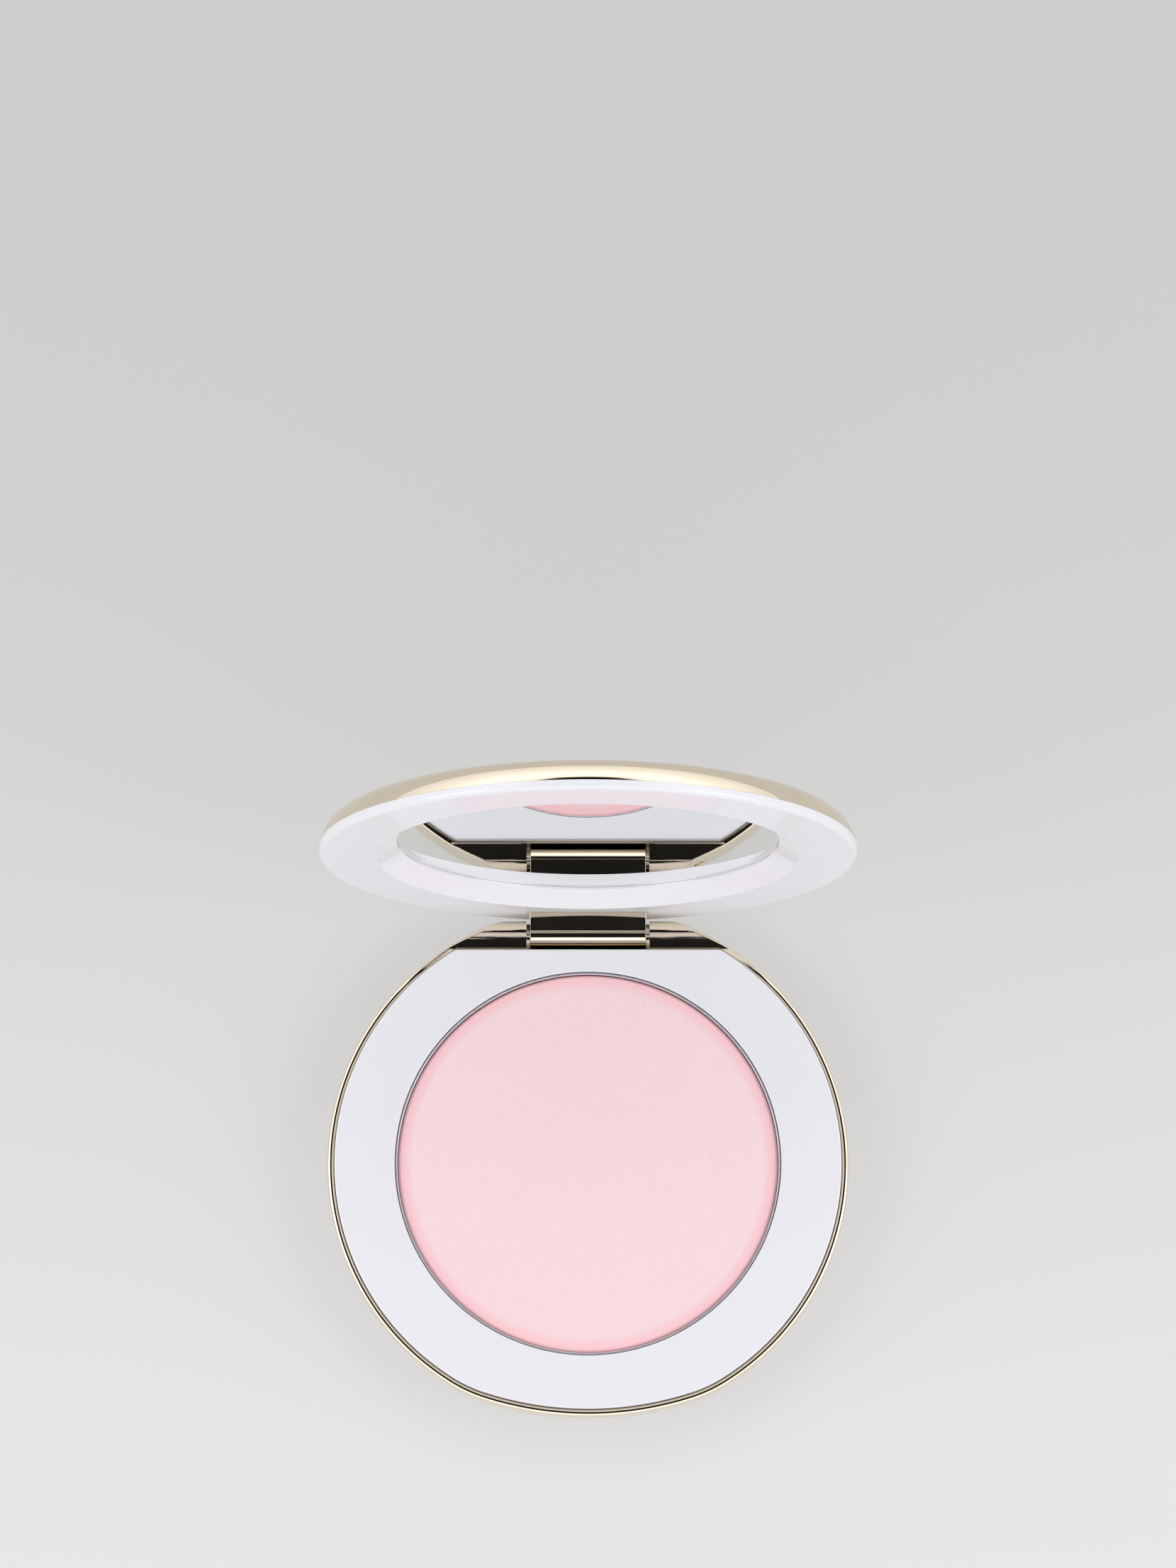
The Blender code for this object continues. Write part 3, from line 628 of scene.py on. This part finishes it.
def mirror_silver(colour):
    """Silvered glass, with the faintest haze."""
    material, tree, shader = new_material("mirror_silver", colour, 0.01, metallic=1.0)
    haze = noise(tree, place_of(tree), 0.008, detail=6.0, rough=0.7)
    roughen(tree, shader, haze, 0.0, 0.018, 0.45, 0.8)
    shader.inputs["Coat Weight"].default_value = 0.5
    shader.inputs["Coat Roughness"].default_value = 0.0
    return material


def pin_steel(colour):
    """Drawn steel wire, with marks along its length."""
    material, tree, shader = new_material("pin_wire", colour, 0.2, metallic=1.0)
    place = place_of(tree)
    stretched = add_node(tree, "ShaderNodeMapping", {"Vector": place, "Scale": (0.08, 1.0, 1.0)})
    marks = noise(tree, stretched.outputs["Vector"], 0.00015, detail=4.0)
    roughen(tree, shader, marks, 0.13, 0.30)
    relief(tree, shader, (marks, 0.000002))
    return material


def label_film(colour):
    """Blank matte label film."""
    material, tree, shader = new_material("label_paper", colour, 0.5)
    place = place_of(tree)
    fibre = noise(tree, place, 0.0004, detail=5.0, rough=0.7)
    tint(tree, shader, fibre, colour, 0.96, 1.03)
    roughen(tree, shader, fibre, 0.42, 0.6)
    relief(tree, shader, (fibre, 0.000004))
    return material


def hidden_material(name, colour, roughness, size, depth, metallic=0.0):
    """Finish of a piece inside the compact: a mottled colour and a fine relief."""
    material, tree, shader = new_material(name, colour, roughness, metallic)
    place = place_of(tree)
    grain = noise(tree, place, size, detail=5.0, rough=0.6)
    tint(tree, shader, grain, colour, 0.9, 1.06)
    roughen(tree, shader, grain, roughness * 0.8, min(1.0, roughness * 1.2))
    relief(tree, shader, (grain, depth))
    return material


SHARED = {}


def shared(maker, *values):
    """A material that several pieces share, made once."""
    if maker not in SHARED:
        SHARED[maker] = maker(*values)
    return SHARED[maker]


# ---------------------------------------------------------------- outlines


def front_centre(base):
    """Y of the centre of the flattened front's radius."""
    return base.front_radius + DECK_FRONT_Y


def front_corner(base, inset):
    """Arc on the right where the flattened front meets the side, from its lower to its upper end."""
    side = CASE_RADIUS - base.rim_width - base.corner_radius
    front = base.front_radius - base.corner_radius
    centre_y = front_centre(base)
    y = (side**2 - front**2 + centre_y**2) / (2 * centre_y)
    x = sqrt(side**2 - y**2)
    low = degrees(atan2(y - centre_y, x))
    high = degrees(atan2(y, x))
    return low, high, arc(x, y, base.corner_radius - inset, low, high, FILLET_STEPS)


def front_half(base, inset, end_angle, side_steps):
    """Right half of the outline, from the middle of the front to an angle on the side."""
    low, high, corner = front_corner(base, inset)
    flat = arc(0.0, front_centre(base), base.front_radius - inset, -90, low, FRONT_STEPS)
    side = arc(0.0, 0.0, CASE_RADIUS - base.rim_width - inset, high, end_angle, side_steps)
    return flat + corner[1:-1] + side


def deck_outline(base, inset, back_y):
    """Plan of the deck, moved in by an inset: a circle with a flattened front and a straight back."""
    side = CASE_RADIUS - base.rim_width - inset
    right = front_half(base, inset, degrees(asin(back_y / side)), DECK_SIDE_STEPS)
    return right + [(-x, y) for x, y in reversed(right[1:])]


def case_outline(base, radius):
    """Plan of the case where its round side has a radius. Well inside the foot it is a plain circle."""
    if radius < CASE_RADIUS - 2 * base.foot_round:
        right = arc(0.0, 0.0, radius, -90, 90, FRONT_STEPS + FILLET_STEPS + SIDE_STEPS)
    else:
        right = front_half(base, CASE_RADIUS - base.rim_width - radius, 90, SIDE_STEPS)
    return right + [(-x, y) for x, y in reversed(right[1:-1])]


def notch_outline(hinge):
    """Side view of the notch between the knuckles, with the lid's stop face under it."""
    cradle_radius = HINGE_RADIUS + hinge.barrel_gap
    cradle = arc(HINGE.y, HINGE.z, cradle_radius, 180, 270, EDGE_STEPS)
    reach = LID_FACE - HINGE.z - hinge.stop_gap
    stop = []
    for height in (HINGE.z - cradle_radius, -OVERCUT):
        rise = height - HINGE.z
        stop.append((HINGE.y + (reach - cos(OPEN_ANGLE) * rise) / sin(OPEN_ANGLE), height))
    above = RIM_TOP + OVERCUT
    return [(HINGE.y - cradle_radius, above), *cradle, *stop, (FAR, -OVERCUT), (FAR, above)]


def knuckle_outline(hinge, front_y):
    """Side view of what is cut away over and behind the knuckles.

    Their tops fall a little towards the deck, and round over the hinge axis behind it.
    """
    fall_steps = 12
    fall = []
    for step in range(fall_steps):
        share = step / fall_steps
        y = front_y + (HINGE.y - front_y) * share
        fall.append((y, RIM_TOP - hinge.crown_drop * (1 - share) ** 2))
    fall.append((HINGE.y - MERGE, RIM_TOP - MERGE))
    back = arc(HINGE.y, HINGE.z, HINGE_RADIUS, 88, 0, EDGE_STEPS)
    above = RIM_TOP + OVERCUT
    start = front_y - hinge.crown_lead
    foot = HINGE.y + HINGE_RADIUS
    lead = [(start, above), (start, RIM_TOP + hinge.crown_drop / 10)]
    return [*lead, *fall, *back, (foot, -OVERCUT), (FAR, -OVERCUT), (FAR, above)]


def arm_outline(hinge, foot_top, top):
    """Side view of the shut lid's arm: its flat, a small step down to it, the barrel and the back."""
    face_y = HINGE.y - HINGE_RADIUS
    flat_y = face_y + hinge.step_drop
    step = []
    for index in range(CORNER_STEPS + 1):
        share = index / CORNER_STEPS
        fall = (1 - cos(pi * share)) / 2
        step.append((face_y + hinge.step_drop * fall, HINGE.z + hinge.step_width * share))
    barrel = arc(HINGE.y, HINGE.z, HINGE_RADIUS, 180, 360, 2 * EDGE_STEPS)
    back_y = HINGE.y + HINGE_RADIUS
    return [(flat_y, top), *reversed(step), *barrel[1:], (back_y, foot_top), (HINGE.y, top)]


# ---------------------------------------------------------------- pieces of the base


def cut_seat(case, base, hinge, seat_z):
    """Cut the deck's seat, with a flared mouth that rounds the rim's and the knuckles' inner edges."""
    knuckle_front = DECK_BACK_Y + hinge.groove
    round_z = RIM_TOP - base.rim_inner_round
    flare = [(0.0, seat_z), (0.0, round_z)]
    last = 82
    for angle in (15, 30, 45, 60, 72, last):
        out = base.rim_inner_round * (1 - cos(radians(angle)))
        flare.append((out, round_z + base.rim_inner_round * sin(radians(angle))))
    flare.append((flare[-1][0] + OVERCUT, flare[-1][1] + OVERCUT / tan(radians(last))))
    flare.append((flare[-1][0], RIM_TOP + OVERCUT))
    levels = []
    for out, height in flare:
        back = knuckle_front + min(1.0, hinge.edge_round / base.rim_inner_round) * out
        levels.append((deck_outline(base, -base.deck_fit - out, back), height))
    combine(case, "DIFFERENCE", loft("seat", levels))


def cut_cavity(case, base, hinge, seat_z):
    """Cut the hollow under the deck's seat, round at its foot as the case is outside."""
    back_y = HINGE.y - HINGE_RADIUS - hinge.barrel_gap - base.well_wall
    plan = deck_outline(base, base.wall - base.rim_width, back_y)
    cavity = slab("cavity", plan, -OVERCUT, seat_z + OVERCUT / 2)
    foot_radius = CASE_RADIUS - base.foot_round
    foot = arc(foot_radius, base.foot_round, base.foot_round - base.floor, 0, -90)
    above = RIM_TOP + OVERCUT
    cup = lathe("cup", [(0.0, above), (foot[0][0], above), *foot, (0.0, base.floor)])
    combine(cavity, "INTERSECT", cup)
    combine(case, "DIFFERENCE", cavity)


def make_case(base, hinge):
    """Gold case with its rim, flattened front, deck seat and two hinge knuckles."""
    label_recess = LABEL_THICKNESS + base.rest_gap
    label_edge = LABEL_RADIUS + 2 * base.rest_gap
    profile = [(0.0, RIM_TOP)]
    profile += arc(CASE_RADIUS - base.rim_round, RIM_TOP - base.rim_round, base.rim_round, 90, 0)
    foot_radius = CASE_RADIUS - base.foot_round
    profile += arc(foot_radius, base.foot_round, base.foot_round, 0, -90, EDGE_STEPS)
    profile += [(label_edge, 0.0), (label_edge, label_recess), (0.0, label_recess)]
    case = swept("gold_case", profile, lambda radius: case_outline(base, radius))

    seat_z = DECK_TOP - base.deck_thickness - base.rest_gap
    cut_seat(case, base, hinge, seat_z)
    cut_cavity(case, base, hinge, seat_z)

    notch_half = hinge.barrel_half + hinge.knuckle_gap
    notch = slab("notch", notch_outline(hinge), -notch_half, notch_half, along_x=True)
    combine(case, "DIFFERENCE", notch)
    knuckle_front = DECK_BACK_Y + hinge.groove
    behind = knuckle_outline(hinge, knuckle_front)
    inner = hinge.barrel_half - hinge.knuckle_gap
    for low, high in ((inner, FAR), (-FAR, -inner)):
        combine(case, "DIFFERENCE", slab("behind", behind, low, high, along_x=True))
    hole_end = PIN_HALF + OVERCUT
    combine(case, "DIFFERENCE", rod("pin_hole", PIN_RADIUS + hinge.pin_fit, -hole_end, FAR))

    def knuckle_end(edge):
        """Edges round the knuckles' ends beside the barrel."""
        spot = middle_of(edge)
        at_end = abs(abs(spot.x) - notch_half) < NEAR and is_corner(edge)
        in_side_view = spot.y > knuckle_front + hinge.edge_round and spot.z > HINGE.z - HINGE_RADIUS / 2
        return at_end and in_side_view

    soften(case, hinge.edge_round, knuckle_end)
    polish(case)
    return case


def make_deck(base):
    """Glossy white deck with a round-mouthed well for the pan."""
    low = DECK_TOP - base.deck_thickness
    deck = slab("white_deck", deck_outline(base, 0.0, DECK_BACK_Y), low, DECK_TOP)

    def top_edge(edge):
        """Edges around the deck's top."""
        return is_corner(edge) and abs(middle_of(edge).z - DECK_TOP) < MERGE

    soften(deck, base.deck_round, top_edge)
    well_radius = PAN_RADIUS + base.well_clearance
    well_low = GLUE_LOW - base.rest_gap
    cup_radius = well_radius + base.well_wall
    cup_round = base.well_wall / 2
    inside = DECK_TOP - base.deck_thickness / 2
    cup_low = arc(cup_radius - cup_round, DECK_LOW + cup_round, cup_round, 0, -90)
    cup = lathe("well_cup", [(0.0, inside), (cup_radius, inside), *cup_low, (0.0, DECK_LOW)])
    combine(deck, "UNION", cup)
    mouth = arc(well_radius + base.well_round, DECK_TOP - base.well_round, base.well_round, 92, 180)
    above = DECK_TOP + OVERCUT
    profile = [(0.0, above), (mouth[0][0] + OVERCUT, above), *mouth]
    profile += [(well_radius, well_low), (0.0, well_low)]
    combine(deck, "DIFFERENCE", lathe("well", profile))
    polish(deck)
    return deck


def make_pan(pan):
    """Thin metal pan with a rolled rim and a round lower corner."""
    floor = PAN_LOW + pan.pan_floor
    inner = PAN_RADIUS - pan.pan_wall
    half = pan.pan_wall / 2
    corner = pan.pan_floor
    profile = [(0.0, floor)]
    profile += arc(inner - corner, floor + corner, corner, 270, 360)
    profile += arc(PAN_RADIUS - half, PAN_RIM - half, half, 180, 0)
    profile += arc(PAN_RADIUS - corner, PAN_LOW + corner, corner, 0, -90)
    profile += [(0.0, PAN_LOW)]
    tin = lathe("metal_pan", profile)
    polish(tin, 50.0)
    return tin


def make_powder(pan):
    """Powder cake: level where the cloth pressed it, sloping a little to a rounded edge."""
    edge_radius = POWDER_RADIUS - pan.powder_round
    slope_start = edge_radius - pan.border
    profile = [(0.0, POWDER_TOP)]
    for index in range(CORNER_STEPS + 1):
        share = index / CORNER_STEPS
        drop = pan.border_drop * (1 - cos(pi * share)) / 2
        profile.append((slope_start + pan.border * share, POWDER_TOP - drop))
    shoulder_z = POWDER_TOP - pan.border_drop - pan.powder_round
    profile += arc(edge_radius, shoulder_z, pan.powder_round, 90, 0)[1:]
    profile += [(POWDER_RADIUS, POWDER_LOW), (0.0, POWDER_LOW)]
    cake = lathe("powder_cake", profile)
    polish(cake, 50.0)
    return cake


def make_label():
    """Blank round label, with a slightly rounded edge."""
    half = LABEL_THICKNESS / 2
    edge = arc(LABEL_RADIUS - half, half, half, 90, -90)
    label = lathe("blank_label", [(0.0, LABEL_THICKNESS), *edge, (0.0, 0.0)])
    polish(label, 80.0)
    return label


# ---------------------------------------------------------------- pieces of the lid, drawn shut


def make_cover(base, hinge, lid):
    """Gold lid cover: domed face, quarter-round edge, and the hinge's arm and barrel."""
    seam = LID_FACE + lid.seam
    edge_top = LID_TOP - lid.crown
    edge_round = edge_top - seam
    shoulder = LID_RADIUS - edge_round
    ceiling = TAPE_BACK + base.rest_gap
    inner_round = edge_round - lid.wall
    profile = []
    for step in range(EDGE_STEPS):
        share = step / EDGE_STEPS
        profile.append((shoulder * share, edge_top + lid.crown * (1 - share**2)))
    profile += arc(shoulder, seam, edge_round, 90, 0, EDGE_STEPS)
    profile += [(LID_RADIUS - lid.wall, seam)]
    profile += arc(shoulder, ceiling - inner_round, inner_round, 0, 90)
    profile += [(0.0, ceiling)]
    cover = lathe("lid_cover", profile)

    foot_top = seam + lid.arm_foot
    foot_radius = LID_RADIUS - lid.arm_clearance
    half = degrees(asin(hinge.barrel_half / foot_radius))
    foot_plan = [(hinge.barrel_half, HINGE.y)]
    foot_plan += arc(0.0, 0.0, foot_radius, 90 - half, 90 + half, EDGE_STEPS)
    foot_plan += [(-hinge.barrel_half, HINGE.y)]
    combine(cover, "UNION", slab("foot", foot_plan, seam - lid.frame_edge, foot_top))
    side_view = arm_outline(hinge, foot_top, ceiling + 2 * base.rest_gap)
    arm = slab("arm", side_view, -hinge.barrel_half, hinge.barrel_half, along_x=True)
    combine(cover, "UNION", arm)
    reach = hinge.barrel_half + OVERCUT
    combine(cover, "DIFFERENCE", rod("barrel_hole", PIN_RADIUS + hinge.pin_fit, -reach, reach))

    def barrel_end(edge):
        """Edges around the barrel's and the arm's ends."""
        spot = middle_of(edge)
        at_end = abs(abs(spot.x) - hinge.barrel_half) < NEAR and spot.z < ceiling
        from_axis = hypot(spot.y - HINGE.y, spot.z - HINGE.z)
        return at_end and from_axis > HINGE_RADIUS / 2 and is_corner(edge)

    soften(cover, hinge.edge_round, barrel_end)
    polish(cover)
    return cover


def make_frame(base, hinge, lid):
    """White mirror frame: round edge, flat face, sloping recess, lip, glass pocket and skirt."""
    edge_round = lid.frame_edge / 2
    seam_round = FRAME_RADIUS - LID_RADIUS
    crest = FRAME_RADIUS - base.deck_fit / 2 - lid.frame_border
    view = crest - lid.recess_taper
    pocket = MIRROR_RADIUS + base.rest_gap
    wall = pocket + base.well_wall
    skirt = LID_RADIUS - lid.wall - lid.arm_clearance
    skirt_inner = skirt - base.well_wall
    pocket_back = MIRROR_BACK - LID_FACE
    skirt_high = lid.frame_edge + lid.skirt_height
    slope = atan2(lid.recess_depth, lid.recess_taper)
    setback = lid.crest_round * (1 - cos(slope)) / sin(slope)
    lip_back = MIRROR_FRONT - LID_FACE - lid.glass_fit

    # Crest of the recess: an arc tangent to the face and to the sloping wall.
    turn = degrees(slope)
    crest_arc = arc(crest + setback, lid.crest_round, lid.crest_round, 270, 270 - turn)
    lip_round = arc(view + lid.lip_round, lid.recess_depth + lid.lip_round, lid.lip_round, 230, 180)
    section = [
        (pocket, pocket_back),
        (wall, pocket_back),
        (wall, lid.frame_edge),
        (skirt_inner, lid.frame_edge),
        (skirt_inner, skirt_high),
        (skirt, skirt_high),
        (skirt, lid.frame_edge),
        *arc(FRAME_RADIUS - seam_round, lid.frame_edge - seam_round, seam_round, 90, 0),
        *arc(FRAME_RADIUS - edge_round, edge_round, edge_round, 0, -90),
        *crest_arc,
        *lip_round,
        (view, lip_back),
        (pocket, lip_back),
    ]
    section = [(radius, LID_FACE + height) for radius, height in section]
    surround = lathe("mirror_frame", section, ring=True)
    half = hinge.barrel_half + lid.arm_clearance
    front_y = HINGE.y - HINGE_RADIUS - lid.arm_clearance
    room = [(-half, front_y), (half, front_y), (half, FAR), (-half, FAR)]
    combine(surround, "DIFFERENCE", slab("arm_room", room, LID_FACE - OVERCUT, LID_TOP))

    def notch_edge(edge):
        """Edges of the notch on the frame's face."""
        spot = middle_of(edge)
        in_plan = spot.y > front_y - NEAR and abs(spot.x) < half + NEAR
        return in_plan and abs(spot.z - LID_FACE) < NEAR and is_corner(edge)

    soften(surround, lid.notch_round, notch_edge, steps=3)
    polish(surround)
    return surround


def make_mirror(lid):
    """Round mirror with a ground edge."""
    bevel = lid.glass_bevel
    profile = [
        (0.0, MIRROR_BACK),
        (MIRROR_RADIUS - bevel, MIRROR_BACK),
        (MIRROR_RADIUS, MIRROR_BACK - bevel),
        (MIRROR_RADIUS, MIRROR_FRONT + bevel),
        (MIRROR_RADIUS - bevel, MIRROR_FRONT),
        (0.0, MIRROR_FRONT),
    ]
    pane = lathe("mirror_pane", profile)
    polish(pane, 20.0)
    return pane


# ---------------------------------------------------------------- stage


def make_camera(stage):
    """Camera above the compact and a little in front of it."""
    aim = Vector((0.0, 0.0, DECK_TOP))
    back = Vector((0.0, -sin(stage.lean), cos(stage.lean)))
    data = bpy.data.cameras.new("camera")
    data.lens = stage.lens
    data.sensor_width = 36.0
    data.clip_start = 0.01
    data.clip_end = 20.0
    camera = linked("camera", data)
    camera.location = aim + back * stage.distance
    camera.rotation_euler = (stage.lean + stage.look_up, 0.0, 0.0)
    bpy.context.scene.camera = camera


def make_floor(stage):
    """Pale floor that darkens gently towards the back as painted shade, and glows with its own colour as
    painted light.
    """
    form = bmesh.new()
    bmesh.ops.create_grid(form, x_segments=12, y_segments=12, size=FLOOR_HALF)
    floor = closed_form("floor", form)
    material, tree, shader = new_material("floor_paper", stage.floor_near, 0.7)
    along_y = add_node(tree, "ShaderNodeSeparateXYZ", {"Vector": place_of(tree)}).outputs["Y"]
    reach = {"Value": along_y, "From Min": FADE_START_Y, "From Max": FADE_END_Y}
    fade = add_node(tree, "ShaderNodeMapRange", reach, interpolation_type="SMOOTHSTEP").outputs["Result"]
    shade = blend_colours(tree, fade, stage.floor_near, stage.floor_far)
    tree.links.new(shade, shader.inputs["Base Color"])
    # Painted light: the floor's graded colour also feeds its glow, which keeps the shadows on it faint.
    tree.links.new(shade, shader.inputs["Emission Color"])
    shader.inputs["Emission Strength"].default_value = stage.floor_glow
    shader.inputs["Specular IOR Level"].default_value = 0.1
    floor.data.materials.append(material)


def make_sky(stage):
    """Light tent: bright all round, with a dark opening straight above."""
    world = bpy.data.worlds.new("light_tent")
    bpy.context.scene.world = world
    world.use_nodes = True
    tree = world.node_tree
    background = tree.nodes["Background"]
    way = add_node(tree, "ShaderNodeTexCoord").outputs["Generated"]
    height = add_node(tree, "ShaderNodeSeparateXYZ", {"Vector": way}).outputs["Z"]
    ramp = add_node(tree, "ShaderNodeValToRGB", {"Fac": height})
    points = ramp.color_ramp.elements
    for where, strength in SKY_STOPS:
        point = points[int(where)] if where in (0.0, 1.0) else points.new(where)
        point.color = (strength, strength, strength, 1.0)
    tree.links.new(ramp.outputs["Color"], background.inputs["Color"])
    background.inputs["Strength"].default_value = stage.sky


def add_soft_box(name, place, power):
    """Square area light that faces the compact."""
    data = bpy.data.lights.new(name, "AREA")
    data.shape = "SQUARE"
    data.size = SOFT_BOX_SIZE
    data.energy = power
    lamp = linked(name, data)
    lamp.location = place
    aim = Vector((0.0, 0.0, DECK_TOP)) - Vector(place)
    lamp.rotation_euler = aim.to_track_quat("-Z", "Y").to_euler()


# ---------------------------------------------------------------- operators


class COMPACT_OT_case(bpy.types.Operator):
    """Build the gold case"""

    bl_idname = "compact.case"
    bl_label = "Gold Case"

    def execute(self, context):
        scene = context.scene
        case = make_case(scene.compact_base, scene.compact_hinge)
        gold = shared(champagne_gold, tuple(scene.compact_base.gold))
        finish_piece(case, "base", "champagne_gold", gold, "base_shell")
        return {"FINISHED"}


class COMPACT_OT_deck(bpy.types.Operator):
    """Build the white deck"""

    bl_idname = "compact.deck"
    bl_label = "White Deck"

    def execute(self, context):
        base = context.scene.compact_base
        white = shared(glossy_white, tuple(base.white))
        finish_piece(make_deck(base), "base", "white_gloss_plastic", white, "base_deck")
        return {"FINISHED"}


class COMPACT_OT_pan(bpy.types.Operator):
    """Build the metal pan"""

    bl_idname = "compact.pan"
    bl_label = "Metal Pan"

    def execute(self, context):
        pan = context.scene.compact_pan
        finish_piece(make_pan(pan), "base", "pan_metal", pan_metal(tuple(pan.tin)), "powder_pan")
        return {"FINISHED"}


class COMPACT_OT_powder(bpy.types.Operator):
    """Build the pressed powder"""

    bl_idname = "compact.powder"
    bl_label = "Pressed Powder"

    def execute(self, context):
        pan = context.scene.compact_pan
        finish_piece(make_powder(pan), "base", "pressed_powder", pressed_powder(pan), "pressed_powder")
        return {"FINISHED"}


class COMPACT_OT_pin(bpy.types.Operator):
    """Build the hinge pin"""

    bl_idname = "compact.pin"
    bl_label = "Hinge Pin"

    def execute(self, context):
        hinge = context.scene.compact_hinge
        pin = rod("steel_pin", PIN_RADIUS, -PIN_HALF, PIN_HALF, hinge.pin_round)
        polish(pin, 50.0)
        finish_piece(pin, "base", "pin_steel", pin_steel(tuple(hinge.steel)), "hinge_pin")
        return {"FINISHED"}


class COMPACT_OT_label(bpy.types.Operator):
    """Build the blank label under the base"""

    bl_idname = "compact.label"
    bl_label = "Blank Label"

    def execute(self, context):
        film = label_film(tuple(context.scene.compact_base.label))
        finish_piece(make_label(), "base", "label_film", film, "bottom_label")
        return {"FINISHED"}


class COMPACT_OT_cover(bpy.types.Operator):
    """Build the gold lid cover with its hinge barrel"""

    bl_idname = "compact.cover"
    bl_label = "Lid Cover"

    def execute(self, context):
        scene = context.scene
        cover = make_cover(scene.compact_base, scene.compact_hinge, scene.compact_lid)
        open_up(cover)
        gold = shared(champagne_gold, tuple(scene.compact_base.gold))
        finish_piece(cover, "lid", "champagne_gold", gold, "lid_shell")
        return {"FINISHED"}


class COMPACT_OT_frame(bpy.types.Operator):
    """Build the white mirror frame"""

    bl_idname = "compact.frame"
    bl_label = "Mirror Frame"

    def execute(self, context):
        scene = context.scene
        surround = make_frame(scene.compact_base, scene.compact_hinge, scene.compact_lid)
        open_up(surround)
        white = shared(glossy_white, tuple(scene.compact_base.white))
        finish_piece(surround, "lid", "white_gloss_plastic", white, "lid_frame")
        return {"FINISHED"}


class COMPACT_OT_mirror(bpy.types.Operator):
    """Build the mirror"""

    bl_idname = "compact.mirror"
    bl_label = "Mirror"

    def execute(self, context):
        lid = context.scene.compact_lid
        pane = make_mirror(lid)
        open_up(pane)
        finish_piece(pane, "lid", "silvered_glass", mirror_silver(tuple(lid.silver)), "mirror_glass")
        return {"FINISHED"}


class COMPACT_OT_inside(bpy.types.Operator):
    """Finish the glue, tape and magnets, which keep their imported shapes"""

    bl_idname = "compact.inside"
    bl_label = "Inside Pieces"

    def execute(self, context):
        glue = hidden_material("glue_pad", (0.75, 0.73, 0.66), 0.4, 0.002, 0.00002)
        tape = hidden_material("tape_foam", (0.85, 0.85, 0.85), 0.9, 0.0003, 0.00003)
        nickel = hidden_material("magnet_plating", (0.60, 0.60, 0.60), 0.3, 0.0005, 0.000003, 1.0)
        finishes = {
            "pan_adhesive": (glue, "clear_glue"),
            "mirror_tape": (tape, "foam_tape"),
            "base_magnet": (nickel, "magnet_nickel"),
            "lid_magnet": (nickel, "magnet_nickel"),
        }
        for node, (material, slot) in finishes.items():
            obj = frame["nodes"][node]
            obj.data.materials.clear()
            obj.data.materials.append(material)
        return {"FINISHED"}


class COMPACT_OT_stage(bpy.types.Operator):
    """Set up the camera, the floor and the light"""

    bl_idname = "compact.stage"
    bl_label = "Stage"

    def execute(self, context):
        stage = context.scene.compact_stage
        context.scene.view_settings.view_transform = "Standard"
        make_camera(stage)
        make_floor(stage)
        make_sky(stage)
        add_soft_box("key_light", KEY_PLACE, stage.key)
        add_soft_box("fill_light", FILL_PLACE, stage.fill)
        return {"FINISHED"}


class COMPACT_PT_pieces(bpy.types.Panel):
    """Lists the compact's pieces"""

    bl_idname = "COMPACT_PT_pieces"
    bl_label = "Powder Compact"
    bl_space_type = "VIEW_3D"
    bl_region_type = "UI"
    bl_category = "Compact"

    def draw(self, context):
        for operator in OPERATORS:
            self.layout.operator(operator.bl_idname)
        for name in SETTINGS:
            group = getattr(context.scene, name)
            box = self.layout.box()
            for prop in group.bl_rna.properties:
                if prop.identifier not in ("rna_type", "name"):
                    box.prop(group, prop.identifier)


OPERATORS = (
    COMPACT_OT_stage,
    COMPACT_OT_case,
    COMPACT_OT_deck,
    COMPACT_OT_pan,
    COMPACT_OT_powder,
    COMPACT_OT_pin,
    COMPACT_OT_label,
    COMPACT_OT_cover,
    COMPACT_OT_frame,
    COMPACT_OT_mirror,
    COMPACT_OT_inside,
)
SETTINGS = {
    "compact_base": CompactBaseSettings,
    "compact_pan": CompactPanSettings,
    "compact_hinge": CompactHingeSettings,
    "compact_lid": CompactLidSettings,
    "compact_stage": CompactStageSettings,
}


def register():
    """Register the settings, the operators and the panel."""
    for name, group in SETTINGS.items():
        bpy.utils.register_class(group)
        setattr(bpy.types.Scene, name, PointerProperty(type=group))
    for operator in OPERATORS:
        bpy.utils.register_class(operator)
    bpy.utils.register_class(COMPACT_PT_pieces)


def unregister():
    """Take back what register added."""
    bpy.utils.unregister_class(COMPACT_PT_pieces)
    for operator in reversed(OPERATORS):
        bpy.utils.unregister_class(operator)
    for name, group in SETTINGS.items():
        delattr(bpy.types.Scene, name)
        bpy.utils.unregister_class(group)


def main():
    """Build every piece."""
    register()
    bpy.ops.compact.stage()
    bpy.ops.compact.case()
    bpy.ops.compact.deck()
    bpy.ops.compact.pan()
    bpy.ops.compact.powder()
    bpy.ops.compact.pin()
    bpy.ops.compact.label()
    bpy.ops.compact.cover()
    bpy.ops.compact.frame()
    bpy.ops.compact.mirror()
    bpy.ops.compact.inside()
    bpy.context.view_layer.update()


if __name__ == "__main__":
    main()
